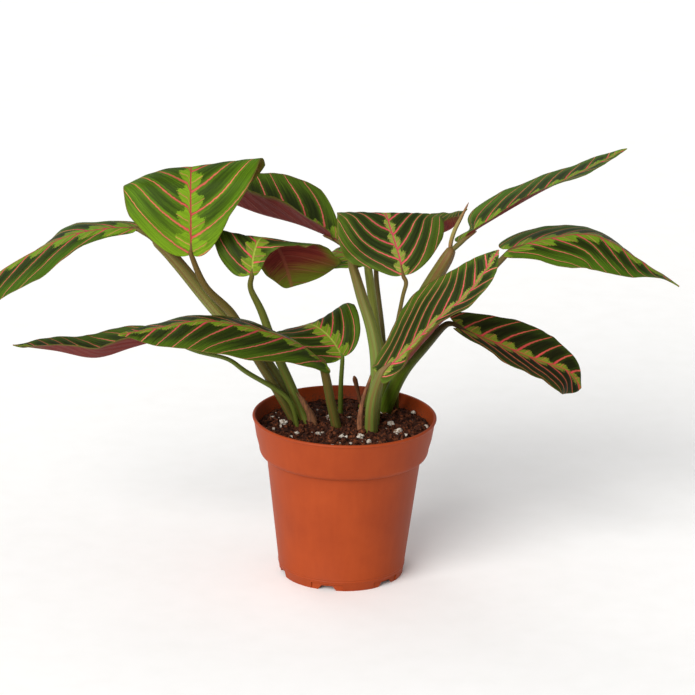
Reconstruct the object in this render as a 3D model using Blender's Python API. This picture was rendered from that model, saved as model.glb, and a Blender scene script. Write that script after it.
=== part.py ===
"""Potted prayer plant: a broad-leaved clump in a moulded nursery pot.

The plant grows from four groups of stems in the peat.  Every leaf blade, leaf stalk and sheath is
its own solid.  The origin is the centre of the pot's underside, on the surface it stands on, and
the plant is widest along X.
"""

import math
from dataclasses import dataclass

import bmesh
import bpy
import numpy as np
from mathutils import Matrix, Vector

MM = 0.001

# ---- driving dimensions, mm -------------------------------------------------------------------
POT_HEIGHT = 95.0
POT_RIM_RADIUS = 53.0
POT_BASE_RADIUS = 35.8
POT_WALL = 1.2
COLLAR_TOP_RADIUS = 52.2
COLLAR_FOOT_RADIUS = 48.9
COLLAR_FOOT_Z = 74.0
SHOULDER_RADIUS = 44.5
SHOULDER_Z = 69.0
FOOT_LINE_Z = 5.6
CHANNEL_HEIGHT = 3.8
CENTRE_PAD_RADIUS = 20.0
CHANNEL_INNER_RADIUS = 22.5
POT_SEGMENTS = 48
FOOT_NOTCHES = 6
NOTCH_WIDTH = 10.0
NOTCH_HEIGHT = 2.7
NOTCH_FIRST_ANGLE = -103.0
DRAIN_HOLES = 6
DRAIN_HOLE_RADIUS = 3.5
DRAIN_CIRCLE_RADIUS = 28.5

SOIL_TOP = 86.3
SOIL_RELIEF = 0.45
GAP = 0.4
STEM_FOOT_Z = 87.4

LEAF_THICKNESS = 0.8
LEAF_ROWS = 11
LEAF_COLUMNS = 6
TUBE_SIDES = 8
LEAF_EDGE_MIN = 0.7


@dataclass(frozen=True)
class Leaf:
    """One leaf blade: a midrib route, the way its face looks, and its two halves."""

    name: str
    midrib: tuple
    facing: tuple
    left: tuple
    right: tuple
    lift_left: tuple = (0,)
    lift_right: tuple = (0,)
    curl_left: tuple = (0,)
    curl_right: tuple = (0,)
    base_fullness: float = 0.5
    tip_fullness: float = 0.78
    lobe_sweep: float = 0.05


@dataclass(frozen=True)
class Stem:
    """One round, tapering stalk or sheath: its route and its radius at each point."""

    name: str
    route: tuple
    radii: tuple
    material: str
    rooted: bool = False


LEAVES = (
    Leaf("leaf_far_left",
         ((-122, 12, 200.5), (-140, 10, 200), (-164, 6, 194.5), (-197.5, 2, 176), (-229, 0, 148)),
         ((0, 0, 1), (0, 0, 1), (-.3, 0, 1), (-.5, 0, 1)),
         (20, 24, 29, 30, 28), (26, 28, 28, 28), (-16,), (-6,), (-8,), (-8,), .6, .7),
    Leaf("leaf_top_left",
         ((-89, -2, 190), (-89.5, 2, 212), (-90, 8, 229.5), (-90, 22, 234.5), (-88, 36, 220.5),
          (-83.5, 52, 191)),
         ((0, -1, .3), (0, -1, .3), (-.12, -.6, .8), (-.14, .2, 1), (0, .8, .5), (0, .9, .5)),
         (20, 31, 38, 38, 34, 30), (22, 27, 41, 45, 40, 34), (4, 2, -6, -6, 0), (4, 4, 2, 0, 0),
         (-10,), lobe_sweep=.02),
    Leaf("leaf_back",
         ((-6.5, 40, 187.5), (-29, 53, 192.5), (-53, 66, 195), (-75, 76, 200), (-95.5, 84, 203)),
         ((-.2, -.6, 1), (0, -.5, 1)),
         (18, 24, 28, 28), (14, 26, 30, 30, 28), (76,), (15,), lobe_sweep=0),
    Leaf("leaf_curled",
         ((-54.5, 0, 178.5), (-53.5, 3, 189.5), (-50.5, 10, 196), (-45, 22, 192.5),
          (-38, 30, 180.5), (-32, 34, 160.5)),
         ((0, -1, .3), (0, -.9, .5), (0, -.1, 1), (0, .7, .5), (0, 1, 0), (0, 1, 0)),
         (24, 24, 26, 18, 14, 12), (10, 12, 28, 36, 38, 34), (4,), (4,), (-8,),
         tip_fullness=.5, lobe_sweep=.04),
    Leaf("leaf_low_front",
         ((-13.5, -14, 132), (-26, -20, 142.5), (-47, -26, 151), (-79, -30, 157.5),
          (-107.5, -32, 153.5), (-128.5, -32, 150.5)),
         ((-.2, -.2, 1), (0, -.1, 1), (0, -.1, 1)),
         (14, 18, 26, 29, 29, 29), (14, 22, 26, 24, 24, 24), (-10,), (-8,), (-10,), (-6,),
         tip_fullness=.6, lobe_sweep=.03),
    Leaf("leaf_low_left",
         ((-104, 6, 137), (-122.5, 4, 131.5), (-143.5, 2, 125.5), (-166, -2, 130.5),
          (-190, -6, 134.5)),
         ((0, 0, 1),), (24,), (24,), (35, 35, 33, 30, 20), (17, 17, 16, 6, 0), lobe_sweep=0),
    Leaf("leaf_low_small",
         ((-2, 18, 124), (-7, 19, 132), (-13, 22, 137.5), (-20, 28, 139.5), (-28, 38, 135),
          (-35, 46, 126.5)),
         ((-.2, -1, .5), (-.2, -.9, .5), (-.1, -.3, 1), (0, .2, 1)),
         (20, 24, 24, 20), (16, 17, 11, 7), lobe_sweep=.02),
    Leaf("leaf_centre",
         ((31.5, 16, 175), (29, 20, 185.5), (23.5, 26, 200.5), (20.5, 33, 206.5), (17, 43, 198.5),
          (13, 52, 184)),
         ((0, -1, .3), (0, -1, .3), (0, -.6, .8), (0, .2, 1), (0, .8, .5)),
         (16, 30, 31, 31, 28, 26), (18, 30, 32, 31, 28, 24), curl_left=(-6,), curl_right=(-6,),
         lobe_sweep=0),
    Leaf("leaf_behind_centre",
         ((23.5, 84, 172.5), (42, 80, 178), (59.5, 76, 185), (69, 74, 198)),
         ((0, 0, 1),), (22,), (22,), (17,), (38, 38, 38, 25), lobe_sweep=0),
    Leaf("leaf_high_right",
         ((70, 20, 201), (77, 16, 207), (106.5, 14, 225.5), (132.5, 18, 238.5), (157, 24, 250.5)),
         ((0, 0, 1),), (28,), (28,), (-2,), (12,), lobe_sweep=.08),
    Leaf("leaf_drooping_right",
         ((93.5, 20, 190.5), (112, 18, 197.5), (140.5, 14, 201.5), (168, 10, 187.5), (189, 8, 174)),
         ((0, 0, 1),), (24, 28, 30, 30), (20, 28, 30, 28), (0, -4, -6, -16, -18),
         (-16, -26, -26, -20, -14), (0,), (-10,), lobe_sweep=.08),
    Leaf("leaf_low_right",
         ((66, -10, 151.5), (82, -13, 146), (107.5, -16, 136.5), (126, -18, 130.5),
          (134, -18, 120.5)),
         ((.2, -.5, 1),), (26, 29, 30, 30), (20, 28, 30, 34), (0,), (22, 20, 16, 0),
         tip_fullness=.7, lobe_sweep=.08),
    Leaf("leaf_diagonal",
         ((20, -26, 129.5), (34, -28, 143.5), (52, -28, 163.5), (69, -26, 180.5), (79, -22, 194.5),
          (86, -18, 201)),
         ((-.1, -.9, .4),), (24, 27, 28, 28, 28), (20, 24, 22, 20, 20), (-52, -48, -46, -40, -30),
         (15, 20, 35, 40, 30), (0,), (130, 120, 60, 20, 0), lobe_sweep=.02),
    Leaf("leaf_hidden_young",
         ((10.5, 41, 175.8), (1, 46, 176.5), (-8.5, 56, 175.5), (-16.5, 68, 166.5)),
         ((0, -.4, 1),), (16,), (16,)),
)

STEMS = (
    Stem("sheath_left", ((-25, 15, STEM_FOOT_Z), (-36.5, 13, 105), (-48, 12, 123.5),
                         (-75.5, 11, 154), (-98.5, 10, 182.5), (-111.5, 10, 195)),
         (3.6, 3.9, 3.8, 3.8, 3.4, 2.2), "sheath", True),
    Stem("petiole_far_left", ((-113, 10.5, 196.3), (-117, 11, 198.5), (-120.5, 12, 200)),
         (1.6, 1.5, 1.4), "petiole"),
    Stem("petiole_top_left", ((-29, 7, STEM_FOOT_Z), (-39, 5, 106.5), (-51.5, 4, 127.5),
                              (-65.5, 4, 152.5), (-80.5, 1, 169.5), (-88.5, -2, 188.5)),
         (2.4, 2.4, 2.5, 2.6, 2.0, 1.4), "petiole", True),
    Stem("petiole_curled", ((-22, 5.5, STEM_FOOT_Z), (-32, 8, 110.5), (-40, 7, 129.5),
                            (-48.5, 6, 153.5), (-55, 3, 168.5), (-54.5, 0.6, 176.6)),
         (2.9, 2.7, 2.5, 2.2, 1.6, 1.4), "petiole", True),
    Stem("petiole_low_left", ((-27, 0.5, STEM_FOOT_Z), (-33.5, 0, 104.5), (-56.5, 1, 119),
                              (-68, 2, 126.5), (-85.5, 4, 130), (-102, 5.5, 136)),
         (1.3, 1.3, 1.4, 1.2, 1.1, 1.0), "petiole", True),
    Stem("petiole_low_front", ((-4.5, -0.5, STEM_FOOT_Z), (-8, -5, 104), (-10.5, -10, 118),
                               (-13, -13.6, 129.6)),
         (2.9, 2.6, 2.5, 2.3), "petiole", True),
    Stem("petiole_low_small", ((-2.5, 22, STEM_FOOT_Z), (-2.5, 20, 107.5), (-2, 18.5, 122.5)),
         (1.5, 1.3, 1.2), "petiole", True),
    Stem("dead_stub", ((10.5, 27, STEM_FOOT_Z), (8, 25, 98.5), (5, 22, 111)),
         (1.0, 0.8, 0.7), "husk", True),
    Stem("petiole_diagonal", ((15.5, -8, STEM_FOOT_Z), (15.5, -13, 103), (17, -18, 115.5),
                              (20, -25, 128)),
         (4.0, 3.8, 3.5, 2.8), "sheath", True),
    Stem("sheath_back", ((16.5, 6, STEM_FOOT_Z), (18, 5, 119.5), (15, 9, 142), (8, 20, 161),
                         (1, 34, 179.5)),
         (3.7, 3.8, 3.6, 3.1, 2.3), "sheath", True),
    Stem("petiole_back", ((-0.4, 36.5, 182.7), (-3, 38.5, 185), (-5.3, 39.7, 186.3)),
         (1.5, 1.5, 1.4), "petiole"),
    Stem("sheath_hidden_young", ((10.5, 36, STEM_FOOT_Z), (20, 28, 121), (17.5, 31, 134.5),
                                 (12, 38, 169.5), (10.5, 40, 174)),
         (2.6, 2.6, 2.6, 2.3, 1.3), "sheath", True),
    Stem("petiole_behind_centre", ((11.5, 43.5, STEM_FOOT_Z), (21, 40, 117), (21, 43, 131),
                                   (16.5, 62, 162), (20, 78, 167.5), (22.8, 83, 170.8)),
         (1.5, 1.5, 1.5, 1.4, 1.3, 1.2), "petiole", True),
    Stem("petiole_centre", ((30, 33.5, STEM_FOOT_Z), (29.5, 24, 111.5), (28, 17, 135),
                            (31.5, 14, 161), (33.5, 15, 170), (32, 16, 173.8)),
         (1.4, 1.3, 1.2, 1.1, 1.2, 1.2), "petiole", True),
    Stem("sheath_right", ((19, 41, STEM_FOOT_Z), (23.5, 37, 104), (32, 33, 133), (47, 22, 166),
                          (56, 18, 184), (59.5, 19, 191)),
         (4.0, 4.0, 4.0, 4.2, 3.6, 2.3), "sheath", True),
    Stem("petiole_high_right", ((62.5, 19, 193.5), (65.5, 19.5, 197), (67.8, 20, 199)),
         (1.5, 1.5, 1.4), "petiole"),
    Stem("rolled_young_leaf", ((58.6, 21.5, 193.5), (60.6, 21, 201), (64, 21, 208.5),
                               (68, 21, 217.5)),
         (1.1, 1.1, 0.9, 0.35), "sheath"),
    Stem("petiole_drooping_right", ((27, 39.5, STEM_FOOT_Z), (31.5, 26, 121.5), (42.5, 22, 138),
                                    (74.5, 18, 170), (87, 19, 183.5), (92.5, 20, 189.3)),
         (1.8, 1.7, 1.7, 1.7, 1.7, 1.5), "petiole", True),
    Stem("petiole_low_right", ((23, 29, STEM_FOOT_Z), (32, 9, 117.5), (46, 0, 138.5),
                               (55, -6, 151.5), (60, -8, 154), (64.6, -9.8, 152.2)),
         (4.1, 3.8, 2.6, 2.0, 1.4, 1.3), "petiole", True),
    Stem("husk_left", ((-17.5, 1, STEM_FOOT_Z), (-19, 1.5, 93), (-22.5, 1, 99.5),
                       (-26.5, 1.5, 106)),
         (1.2, 1.3, 1.1, 0.6), "husk", True),
    Stem("husk_middle", ((9.6, -9.5, STEM_FOOT_Z), (9.2, -11, 96), (10.5, -11.5, 108),
                         (14.5, -15, 123)),
         (1.0, 1.2, 1.0, 0.6), "husk", True),
    Stem("curly_root", ((27, 21, STEM_FOOT_Z), (28, 19.5, 90), (30, 21, 91.5), (31, 24, 90),
                        (33, 25, 88.2)),
         (0.5, 0.5, 0.5, 0.5, 0.4), "husk", True),
)

# perlite chips: place on the peat and radius, mm
CHIPS = ((-35, 1.5, 2.4), (-35, 30, 1.9), (-27, -14.5, 1.6), (-15, -15, 1.7), (-1.5, -17.5, 1.5),
         (9.5, -19, 2.2), (27, 4.5, 2.1), (40, 26, 1.6), (-42, 11, 1.5), (3, 14, 1.4))


@dataclass(frozen=True)
class Finish:
    """A plain Principled look for one material slot."""

    color: tuple
    roughness: float


FINISHES = {
    "pot": Finish((0.46, 0.12, 0.05), 0.5),
    "soil": Finish((0.05, 0.03, 0.02), 0.95),
    "leaf": Finish((0.08, 0.19, 0.04), 0.4),
    "petiole": Finish((0.16, 0.20, 0.06), 0.45),
    "sheath": Finish((0.24, 0.34, 0.09), 0.45),
    "husk": Finish((0.23, 0.11, 0.05), 0.8),
    "perlite": Finish((0.85, 0.84, 0.80), 0.9),
}


def clear_scene() -> None:
    """Remove every object, mesh and material left in the file."""
    for obj in list(bpy.data.objects):
        bpy.data.objects.remove(obj, do_unlink=True)
    for mesh in list(bpy.data.meshes):
        bpy.data.meshes.remove(mesh)
    for material in list(bpy.data.materials):
        bpy.data.materials.remove(material)


def make_materials() -> dict:
    """Make one Principled material for each finish."""
    materials = {}
    for name, finish in FINISHES.items():
        material = bpy.data.materials.new(name)
        material.use_nodes = True
        shader = material.node_tree.nodes["Principled BSDF"]
        shader.inputs["Base Color"].default_value = (*finish.color, 1.0)
        shader.inputs["Roughness"].default_value = finish.roughness
        materials[name] = material
    return materials


# ---- curves ---------------------------------------------------------------------------------
def catmull_rom(points: np.ndarray, u: np.ndarray) -> np.ndarray:
    """Return points of a smooth curve through the given points, u from 0 to 1."""
    spans = len(points) - 1
    place = np.clip(u, 0, 1) * spans
    index = np.minimum(place.astype(int), spans - 1)
    f = (place - index)[:, None]
    padded = np.vstack([2 * points[0] - points[1], points, 2 * points[-1] - points[-2]])
    a, b, c, d = padded[index], padded[index + 1], padded[index + 2], padded[index + 3]
    return 0.5 * (2 * b + (c - a) * f + (2 * a - 5 * b + 4 * c - d) * f ** 2
                  + (3 * b - a - 3 * c + d) * f ** 3)


def along(points: tuple, s: np.ndarray) -> tuple:
    """Return places, directions and total length at fractions s of a route's length."""
    route = np.array(points, float)
    fine = np.linspace(0, 1, 401)
    curve = catmull_rom(route, fine)
    run = np.concatenate([[0], np.cumsum(np.linalg.norm(np.diff(curve, axis=0), axis=1))])
    u = np.interp(s * run[-1], run, fine)
    step = 1e-3
    tangent = catmull_rom(route, u + step) - catmull_rom(route, u - step)
    tangent /= np.linalg.norm(tangent, axis=1)[:, None]
    return catmull_rom(route, u), tangent, run[-1]


def keyed(values: tuple, s: np.ndarray) -> np.ndarray:
    """Interpolate evenly spaced values (numbers or vectors) at fractions s."""
    keys = np.array(values, float)
    if len(keys) == 1:
        keys = np.repeat(keys, 2, axis=0)
    grid = np.linspace(0, 1, len(keys))
    if keys.ndim == 1:
        return np.interp(s, grid, keys)
    return np.stack([np.interp(s, grid, keys[:, k]) for k in range(keys.shape[1])], -1)


def half_width(s: np.ndarray, leaf: Leaf) -> np.ndarray:
    """Leaf outline: half width over the leaf's widest half width, at fractions s."""
    a, b = leaf.base_fullness, leaf.tip_fullness
    widest = a / (a + b)
    shape = s ** a * (1 - s) ** b / (widest ** a * (1 - widest) ** b)
    taper = np.clip((s - 0.82) / 0.18, 0, 1)
    return shape * (1 - 0.35 * taper * taper * (3 - 2 * taper))


def leaf_sheet(leaf: Leaf) -> tuple:
    """Return the blade's mid surface and its normals as [rows, columns, 3] grids in mm."""
    s = 0.5 - 0.5 * np.cos(np.pi * np.linspace(0, 1, LEAF_ROWS))
    place, tangent, length = along(leaf.midrib, s)
    face = keyed(leaf.facing, s)
    face -= np.sum(face * tangent, axis=1)[:, None] * tangent
    face /= np.linalg.norm(face, axis=1)[:, None]
    across = np.cross(tangent, face)
    outline = half_width(s, leaf)
    fold = np.clip(outline / 0.4, 0, 1)
    columns = np.linspace(-1, 1, 2 * (LEAF_COLUMNS // 2) + 1)
    sheet = np.zeros((LEAF_ROWS, len(columns), 3))
    normal = np.zeros_like(sheet)
    for j, t in enumerate(columns):
        right = t >= 0
        reach = np.maximum(keyed(leaf.right if right else leaf.left, s) * outline, LEAF_EDGE_MIN)
        reach = reach * abs(t)
        lift = np.radians(keyed(leaf.lift_right if right else leaf.lift_left, s)) * fold
        curl = np.radians(keyed(leaf.curl_right if right else leaf.curl_left, s)) * fold
        steps = (np.arange(12) + 0.5) / 12
        angle = lift[:, None] + curl[:, None] * steps[None, :] * abs(t)
        out = np.cos(angle).mean(axis=1) * reach * (1 if right else -1)
        up = np.sin(angle).mean(axis=1) * reach
        back = leaf.lobe_sweep * length * t * t * (1 - s) ** 4 * np.clip(outline / 0.6, 0, 1) ** 2
        sheet[:, j] = place + across * out[:, None] + face * up[:, None] - tangent * back[:, None]
        end = lift + curl * abs(t) if t else \
            (lift - np.radians(keyed(leaf.lift_left, s)) * fold) / 2
        normal[:, j] = face * np.cos(end)[:, None] \
            - across * (np.sin(end) * (1 if right else -1))[:, None]
    return sheet, normal


# ---- mesh helpers ---------------------------------------------------------------------------
def add_object(name: str, bm: bmesh.types.BMesh, material: bpy.types.Material) -> bpy.types.Object:
    """Close a bmesh into a named object, faces out, with its material."""
    bmesh.ops.recalc_face_normals(bm, faces=bm.faces)
    mesh = bpy.data.meshes.new(name)
    bm.to_mesh(mesh)
    bm.free()
    mesh.materials.append(material)
    obj = bpy.data.objects.new(name, mesh)
    bpy.context.scene.collection.objects.link(obj)
    return obj


def stitch_grid(bm: bmesh.types.BMesh, grid: list) -> None:
    """Join neighbouring vertices of a grid with quads."""
    for row, following in zip(grid, grid[1:]):
        for k in range(len(row) - 1):
            bm.faces.new((row[k], row[k + 1], following[k + 1], following[k]))


def build_leaf(leaf: Leaf, material: bpy.types.Material) -> bpy.types.Object:
    """Build one blade as a thin closed solid around its mid surface."""
    sheet, normal = leaf_sheet(leaf)
    half = LEAF_THICKNESS / 2
    bm = bmesh.new()
    sides = []
    for offset in (half, -half):
        sides.append([[bm.verts.new(Vector(p + n * offset) * MM) for p, n in zip(row, normals)]
                      for row, normals in zip(sheet, normal)])
    top, bottom = sides
    stitch_grid(bm, top)
    stitch_grid(bm, bottom)
    border_top = top[0] + [row[-1] for row in top[1:-1]] + top[-1][::-1] \
        + [row[0] for row in top[-2:0:-1]]
    border_bottom = bottom[0] + [row[-1] for row in bottom[1:-1]] + bottom[-1][::-1] \
        + [row[0] for row in bottom[-2:0:-1]]
    count = len(border_top)
    for k in range(count):
        after = (k + 1) % count
        bm.faces.new((border_top[k], border_top[after], border_bottom[after], border_bottom[k]))
    return add_object(leaf.name, bm, material)


def build_stem(stem: Stem, material: bpy.types.Material) -> bpy.types.Object:
    """Build one stalk as a closed tapering tube; a rooted one starts level with the peat."""
    rings = 2 * (len(stem.route) - 1) + 1
    s = np.linspace(0, 1, rings)
    place, tangent, _ = along(stem.route, s)
    radius = keyed(stem.radii, s)
    if stem.rooted:
        tangent[0] = (0, 0, 1)
        tangent[1] = tangent[1] + np.array((0, 0, 0.6))
        tangent[1] /= np.linalg.norm(tangent[1])
    side = np.cross(tangent, (0, 1, 0))
    side /= np.linalg.norm(side, axis=1)[:, None]
    other = np.cross(side, tangent)
    bm = bmesh.new()
    loops = []
    for k in range(rings):
        loop = []
        for j in range(TUBE_SIDES):
            turn = 2 * math.pi * j / TUBE_SIDES
            point = place[k] + radius[k] * (math.cos(turn) * side[k] + math.sin(turn) * other[k])
            loop.append(bm.verts.new(Vector(point) * MM))
        loops.append(loop)
    stitch_grid(bm, [loop + loop[:1] for loop in loops])
    bm.faces.new(loops[0])
    bm.faces.new(loops[-1])
    return add_object(stem.name, bm, material)


def revolve(bm: bmesh.types.BMesh, profile: list) -> None:
    """Turn a closed profile of (radius, z) points in mm around Z; radius 0 points stay single."""
    rings = []
    for radius, z in profile:
        if radius < 1e-6:
            rings.append([bm.verts.new((0, 0, z * MM))] * POT_SEGMENTS)
            continue
        rings.append([bm.verts.new((radius * MM * math.cos(2 * math.pi * k / POT_SEGMENTS),
                                    radius * MM * math.sin(2 * math.pi * k / POT_SEGMENTS),
                                    z * MM)) for k in range(POT_SEGMENTS)])
    for ring, following in zip(rings, rings[1:]):
        for k in range(POT_SEGMENTS):
            after = (k + 1) % POT_SEGMENTS
            corners = []
            for vert in (ring[k], ring[after], following[after], following[k]):
                if vert not in corners:
                    corners.append(vert)
            if len(corners) > 2:
                bm.faces.new(corners)


def wall_radius(z: float) -> float:
    """Outer radius of the pot's straight lower wall at height z, mm."""
    return POT_BASE_RADIUS + (SHOULDER_RADIUS - POT_BASE_RADIUS) * z / SHOULDER_Z


def pot_profile() -> list:
    """Closed half section of the pot, from the axis under the pad, out, up, over and back in."""
    inner_floor = CHANNEL_HEIGHT + POT_WALL
    outside = [
        (0, 0), (CENTRE_PAD_RADIUS, 0), (CHANNEL_INNER_RADIUS, CHANNEL_HEIGHT),
        (POT_BASE_RADIUS - 1.6, CHANNEL_HEIGHT), (POT_BASE_RADIUS - 1.4, 0.3),
        (POT_BASE_RADIUS - 1.1, 0), (POT_BASE_RADIUS - 0.3, 0), (POT_BASE_RADIUS, 0.4),
        (wall_radius(FOOT_LINE_Z) + 0.25, FOOT_LINE_Z), (wall_radius(FOOT_LINE_Z + 0.5),
                                                         FOOT_LINE_Z + 0.5),
        (SHOULDER_RADIUS, SHOULDER_Z), (SHOULDER_RADIUS + 0.7, SHOULDER_Z + 1.6),
        (COLLAR_FOOT_RADIUS - 1.4, COLLAR_FOOT_Z - 1.2), (COLLAR_FOOT_RADIUS - 0.2,
                                                          COLLAR_FOOT_Z - 0.2),
        (COLLAR_FOOT_RADIUS, COLLAR_FOOT_Z + 0.8), (COLLAR_TOP_RADIUS, POT_HEIGHT - 2.6),
        (POT_RIM_RADIUS - 0.1, POT_HEIGHT - 1.8), (POT_RIM_RADIUS, POT_HEIGHT - 1.0),
        (POT_RIM_RADIUS - 0.5, POT_HEIGHT - 0.2), (POT_RIM_RADIUS - 1.1, POT_HEIGHT),
    ]
    inside = [
        (POT_RIM_RADIUS - 1.9, POT_HEIGHT - 0.3), (COLLAR_TOP_RADIUS - POT_WALL, POT_HEIGHT - 2.6),
        (COLLAR_FOOT_RADIUS - POT_WALL, COLLAR_FOOT_Z + 1.2),
        (SHOULDER_RADIUS - POT_WALL + 0.6, SHOULDER_Z + 1.8),
        (SHOULDER_RADIUS - POT_WALL, SHOULDER_Z),
        (wall_radius(inner_floor) - POT_WALL, inner_floor),
        (CHANNEL_INNER_RADIUS - 1.0, inner_floor), (CENTRE_PAD_RADIUS - 1.0, POT_WALL),
        (0, POT_WALL),
    ]
    return outside + inside


def build_pot(material: bpy.types.Material) -> bpy.types.Object:
    """Build the pot shell, then cut the foot notches and the drain holes."""
    bm = bmesh.new()
    revolve(bm, pot_profile())
    pot = add_object("pot", bm, material)
    cut = bmesh.new()
    for k in range(FOOT_NOTCHES):
        angle = math.radians(NOTCH_FIRST_ANGLE + 360 / FOOT_NOTCHES * k)
        place = Matrix.Rotation(angle, 4, "Z") @ Matrix.Translation((POT_BASE_RADIUS * MM, 0, 0))
        size = Matrix.Diagonal((5 * MM, NOTCH_WIDTH * MM, 2 * NOTCH_HEIGHT * MM, 1))
        bmesh.ops.create_cube(cut, size=1, matrix=place @ size)
    for k in range(DRAIN_HOLES):
        angle = math.radians(NOTCH_FIRST_ANGLE + 360 / DRAIN_HOLES * (k + 0.5))
        place = Matrix.Rotation(angle, 4, "Z") @ Matrix.Translation(
            (DRAIN_CIRCLE_RADIUS * MM, 0, (CHANNEL_HEIGHT + POT_WALL / 2) * MM))
        bmesh.ops.create_cone(cut, cap_ends=True, segments=16, radius1=DRAIN_HOLE_RADIUS * MM,
                              radius2=DRAIN_HOLE_RADIUS * MM, depth=3 * POT_WALL * MM,
                              matrix=place)
    cutter = add_object("pot_cutter", cut, material)
    cutter.hide_render = True
    cutter.display_type = "WIRE"
    boolean = pot.modifiers.new("notches_and_drains", "BOOLEAN")
    boolean.operation = "DIFFERENCE"
    boolean.solver = "EXACT"
    boolean.object = cutter
    return pot


def build_soil(material: bpy.types.Material) -> bpy.types.Object:
    """Build the peat that fills the pot, a hair clear of the shell, with a gently uneven top."""
    floor = CHANNEL_HEIGHT + POT_WALL + GAP
    clear = POT_WALL + GAP
    bm = bmesh.new()
    top_radius = COLLAR_FOOT_RADIUS - clear + (SOIL_TOP - COLLAR_FOOT_Z) * (
        COLLAR_TOP_RADIUS - COLLAR_FOOT_RADIUS) / (POT_HEIGHT - 2.6 - COLLAR_FOOT_Z) - 0.4
    profile = [
        (0, POT_WALL + GAP), (CENTRE_PAD_RADIUS - 2.2, POT_WALL + GAP),
        (CHANNEL_INNER_RADIUS - 1.4, floor), (wall_radius(floor) - clear, floor),
        (SHOULDER_RADIUS - clear, SHOULDER_Z), (SHOULDER_RADIUS - clear + 0.6, SHOULDER_Z + 2.6),
        (COLLAR_FOOT_RADIUS - clear - 0.1, COLLAR_FOOT_Z + 2.2), (top_radius, SOIL_TOP),
        (42, SOIL_TOP), (34, SOIL_TOP), (26, SOIL_TOP), (18, SOIL_TOP), (10, SOIL_TOP),
        (0, SOIL_TOP),
    ]
    revolve(bm, profile)
    for vert in bm.verts:
        if vert.co.z > (SOIL_TOP - 0.01) * MM and vert.co.xy.length < 46 * MM:
            x, y = vert.co.x / MM, vert.co.y / MM
            vert.co.z += SOIL_RELIEF * MM * (math.sin(x * 0.31 + y * 0.17)
                                             * math.cos(y * 0.27 - x * 0.11))
    return add_object("soil", bm, material)


def build_chip(index: int, x: float, y: float, radius: float,
               material: bpy.types.Material) -> bpy.types.Object:
    """Build one perlite chip, a lumpy pebble lying on the peat."""
    bm = bmesh.new()
    bmesh.ops.create_icosphere(bm, subdivisions=2, radius=1.0)
    for vert in bm.verts:
        lump = 1 + 0.12 * math.sin(3.1 * vert.co.x + 2.3 * vert.co.y + index) \
            * math.cos(2.7 * vert.co.z - index)
        vert.co = Vector((vert.co.x * lump, vert.co.y * lump, vert.co.z * lump * 0.8)) * radius
        vert.co += Vector((x, y, SOIL_TOP + SOIL_RELIEF + GAP + radius * 0.85))
        vert.co *= MM
    return add_object(f"perlite_{index + 1}", bm, material)


def build_plant() -> None:
    """Build every piece of the potted plant."""
    clear_scene()
    materials = make_materials()
    build_pot(materials["pot"])
    build_soil(materials["soil"])
    for leaf in LEAVES:
        build_leaf(leaf, materials["leaf"])
    for stem in STEMS:
        build_stem(stem, materials[stem.material])
    for index, (x, y, radius) in enumerate(CHIPS):
        build_chip(index, x, y, radius, materials["perlite"])


build_plant()
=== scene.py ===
"""Looks of a prayer plant in its nursery pot: living blades, stalks, peat and moulded plastic."""

import logging
import math
from dataclasses import dataclass, field
from enum import Enum

import bmesh
import bpy
import numpy as np
from mathutils import Matrix, Vector, noise


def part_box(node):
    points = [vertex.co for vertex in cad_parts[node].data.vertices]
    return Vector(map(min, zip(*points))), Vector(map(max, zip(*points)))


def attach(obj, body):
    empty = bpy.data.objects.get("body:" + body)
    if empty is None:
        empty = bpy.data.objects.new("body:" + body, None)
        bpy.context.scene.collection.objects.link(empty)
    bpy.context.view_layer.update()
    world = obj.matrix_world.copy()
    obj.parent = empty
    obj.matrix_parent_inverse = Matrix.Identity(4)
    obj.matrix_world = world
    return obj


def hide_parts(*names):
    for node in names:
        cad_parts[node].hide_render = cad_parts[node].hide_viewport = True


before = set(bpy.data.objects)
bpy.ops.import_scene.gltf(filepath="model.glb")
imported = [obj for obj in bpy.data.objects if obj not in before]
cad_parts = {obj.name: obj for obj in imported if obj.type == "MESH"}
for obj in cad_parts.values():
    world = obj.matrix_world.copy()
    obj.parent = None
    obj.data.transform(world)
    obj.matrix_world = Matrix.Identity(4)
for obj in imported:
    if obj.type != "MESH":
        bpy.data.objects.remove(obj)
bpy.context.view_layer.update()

MM = 0.001
FOOT_Z = 87.4  # where stalks leave the peat, mm
ROOT_DEPTH = 4.0  # how far they run on into it, mm
SMOOTH = {"interpolation_type": "SMOOTHSTEP"}
COLOR = {"data_type": "RGBA"}
TINT = {"data_type": "RGBA", "blend_type": "MULTIPLY"}
LOG = logging.getLogger("prayer_plant")


# ---- colours and nodes ------------------------------------------------------------------------
def hex_linear(code: str) -> tuple:
    """Turn an sRGB hex colour into linear RGBA.

    Args:
        code: six hex digits, with or without a leading hash.

    Returns:
        Four floats, alpha 1.
    """
    digits = code.lstrip("#")
    channels = [int(digits[k:k + 2], 16) / 255 for k in (0, 2, 4)]
    return tuple(c / 12.92 if c <= 0.04045 else ((c + 0.055) / 1.055) ** 2.4
                 for c in channels) + (1.0,)


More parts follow.
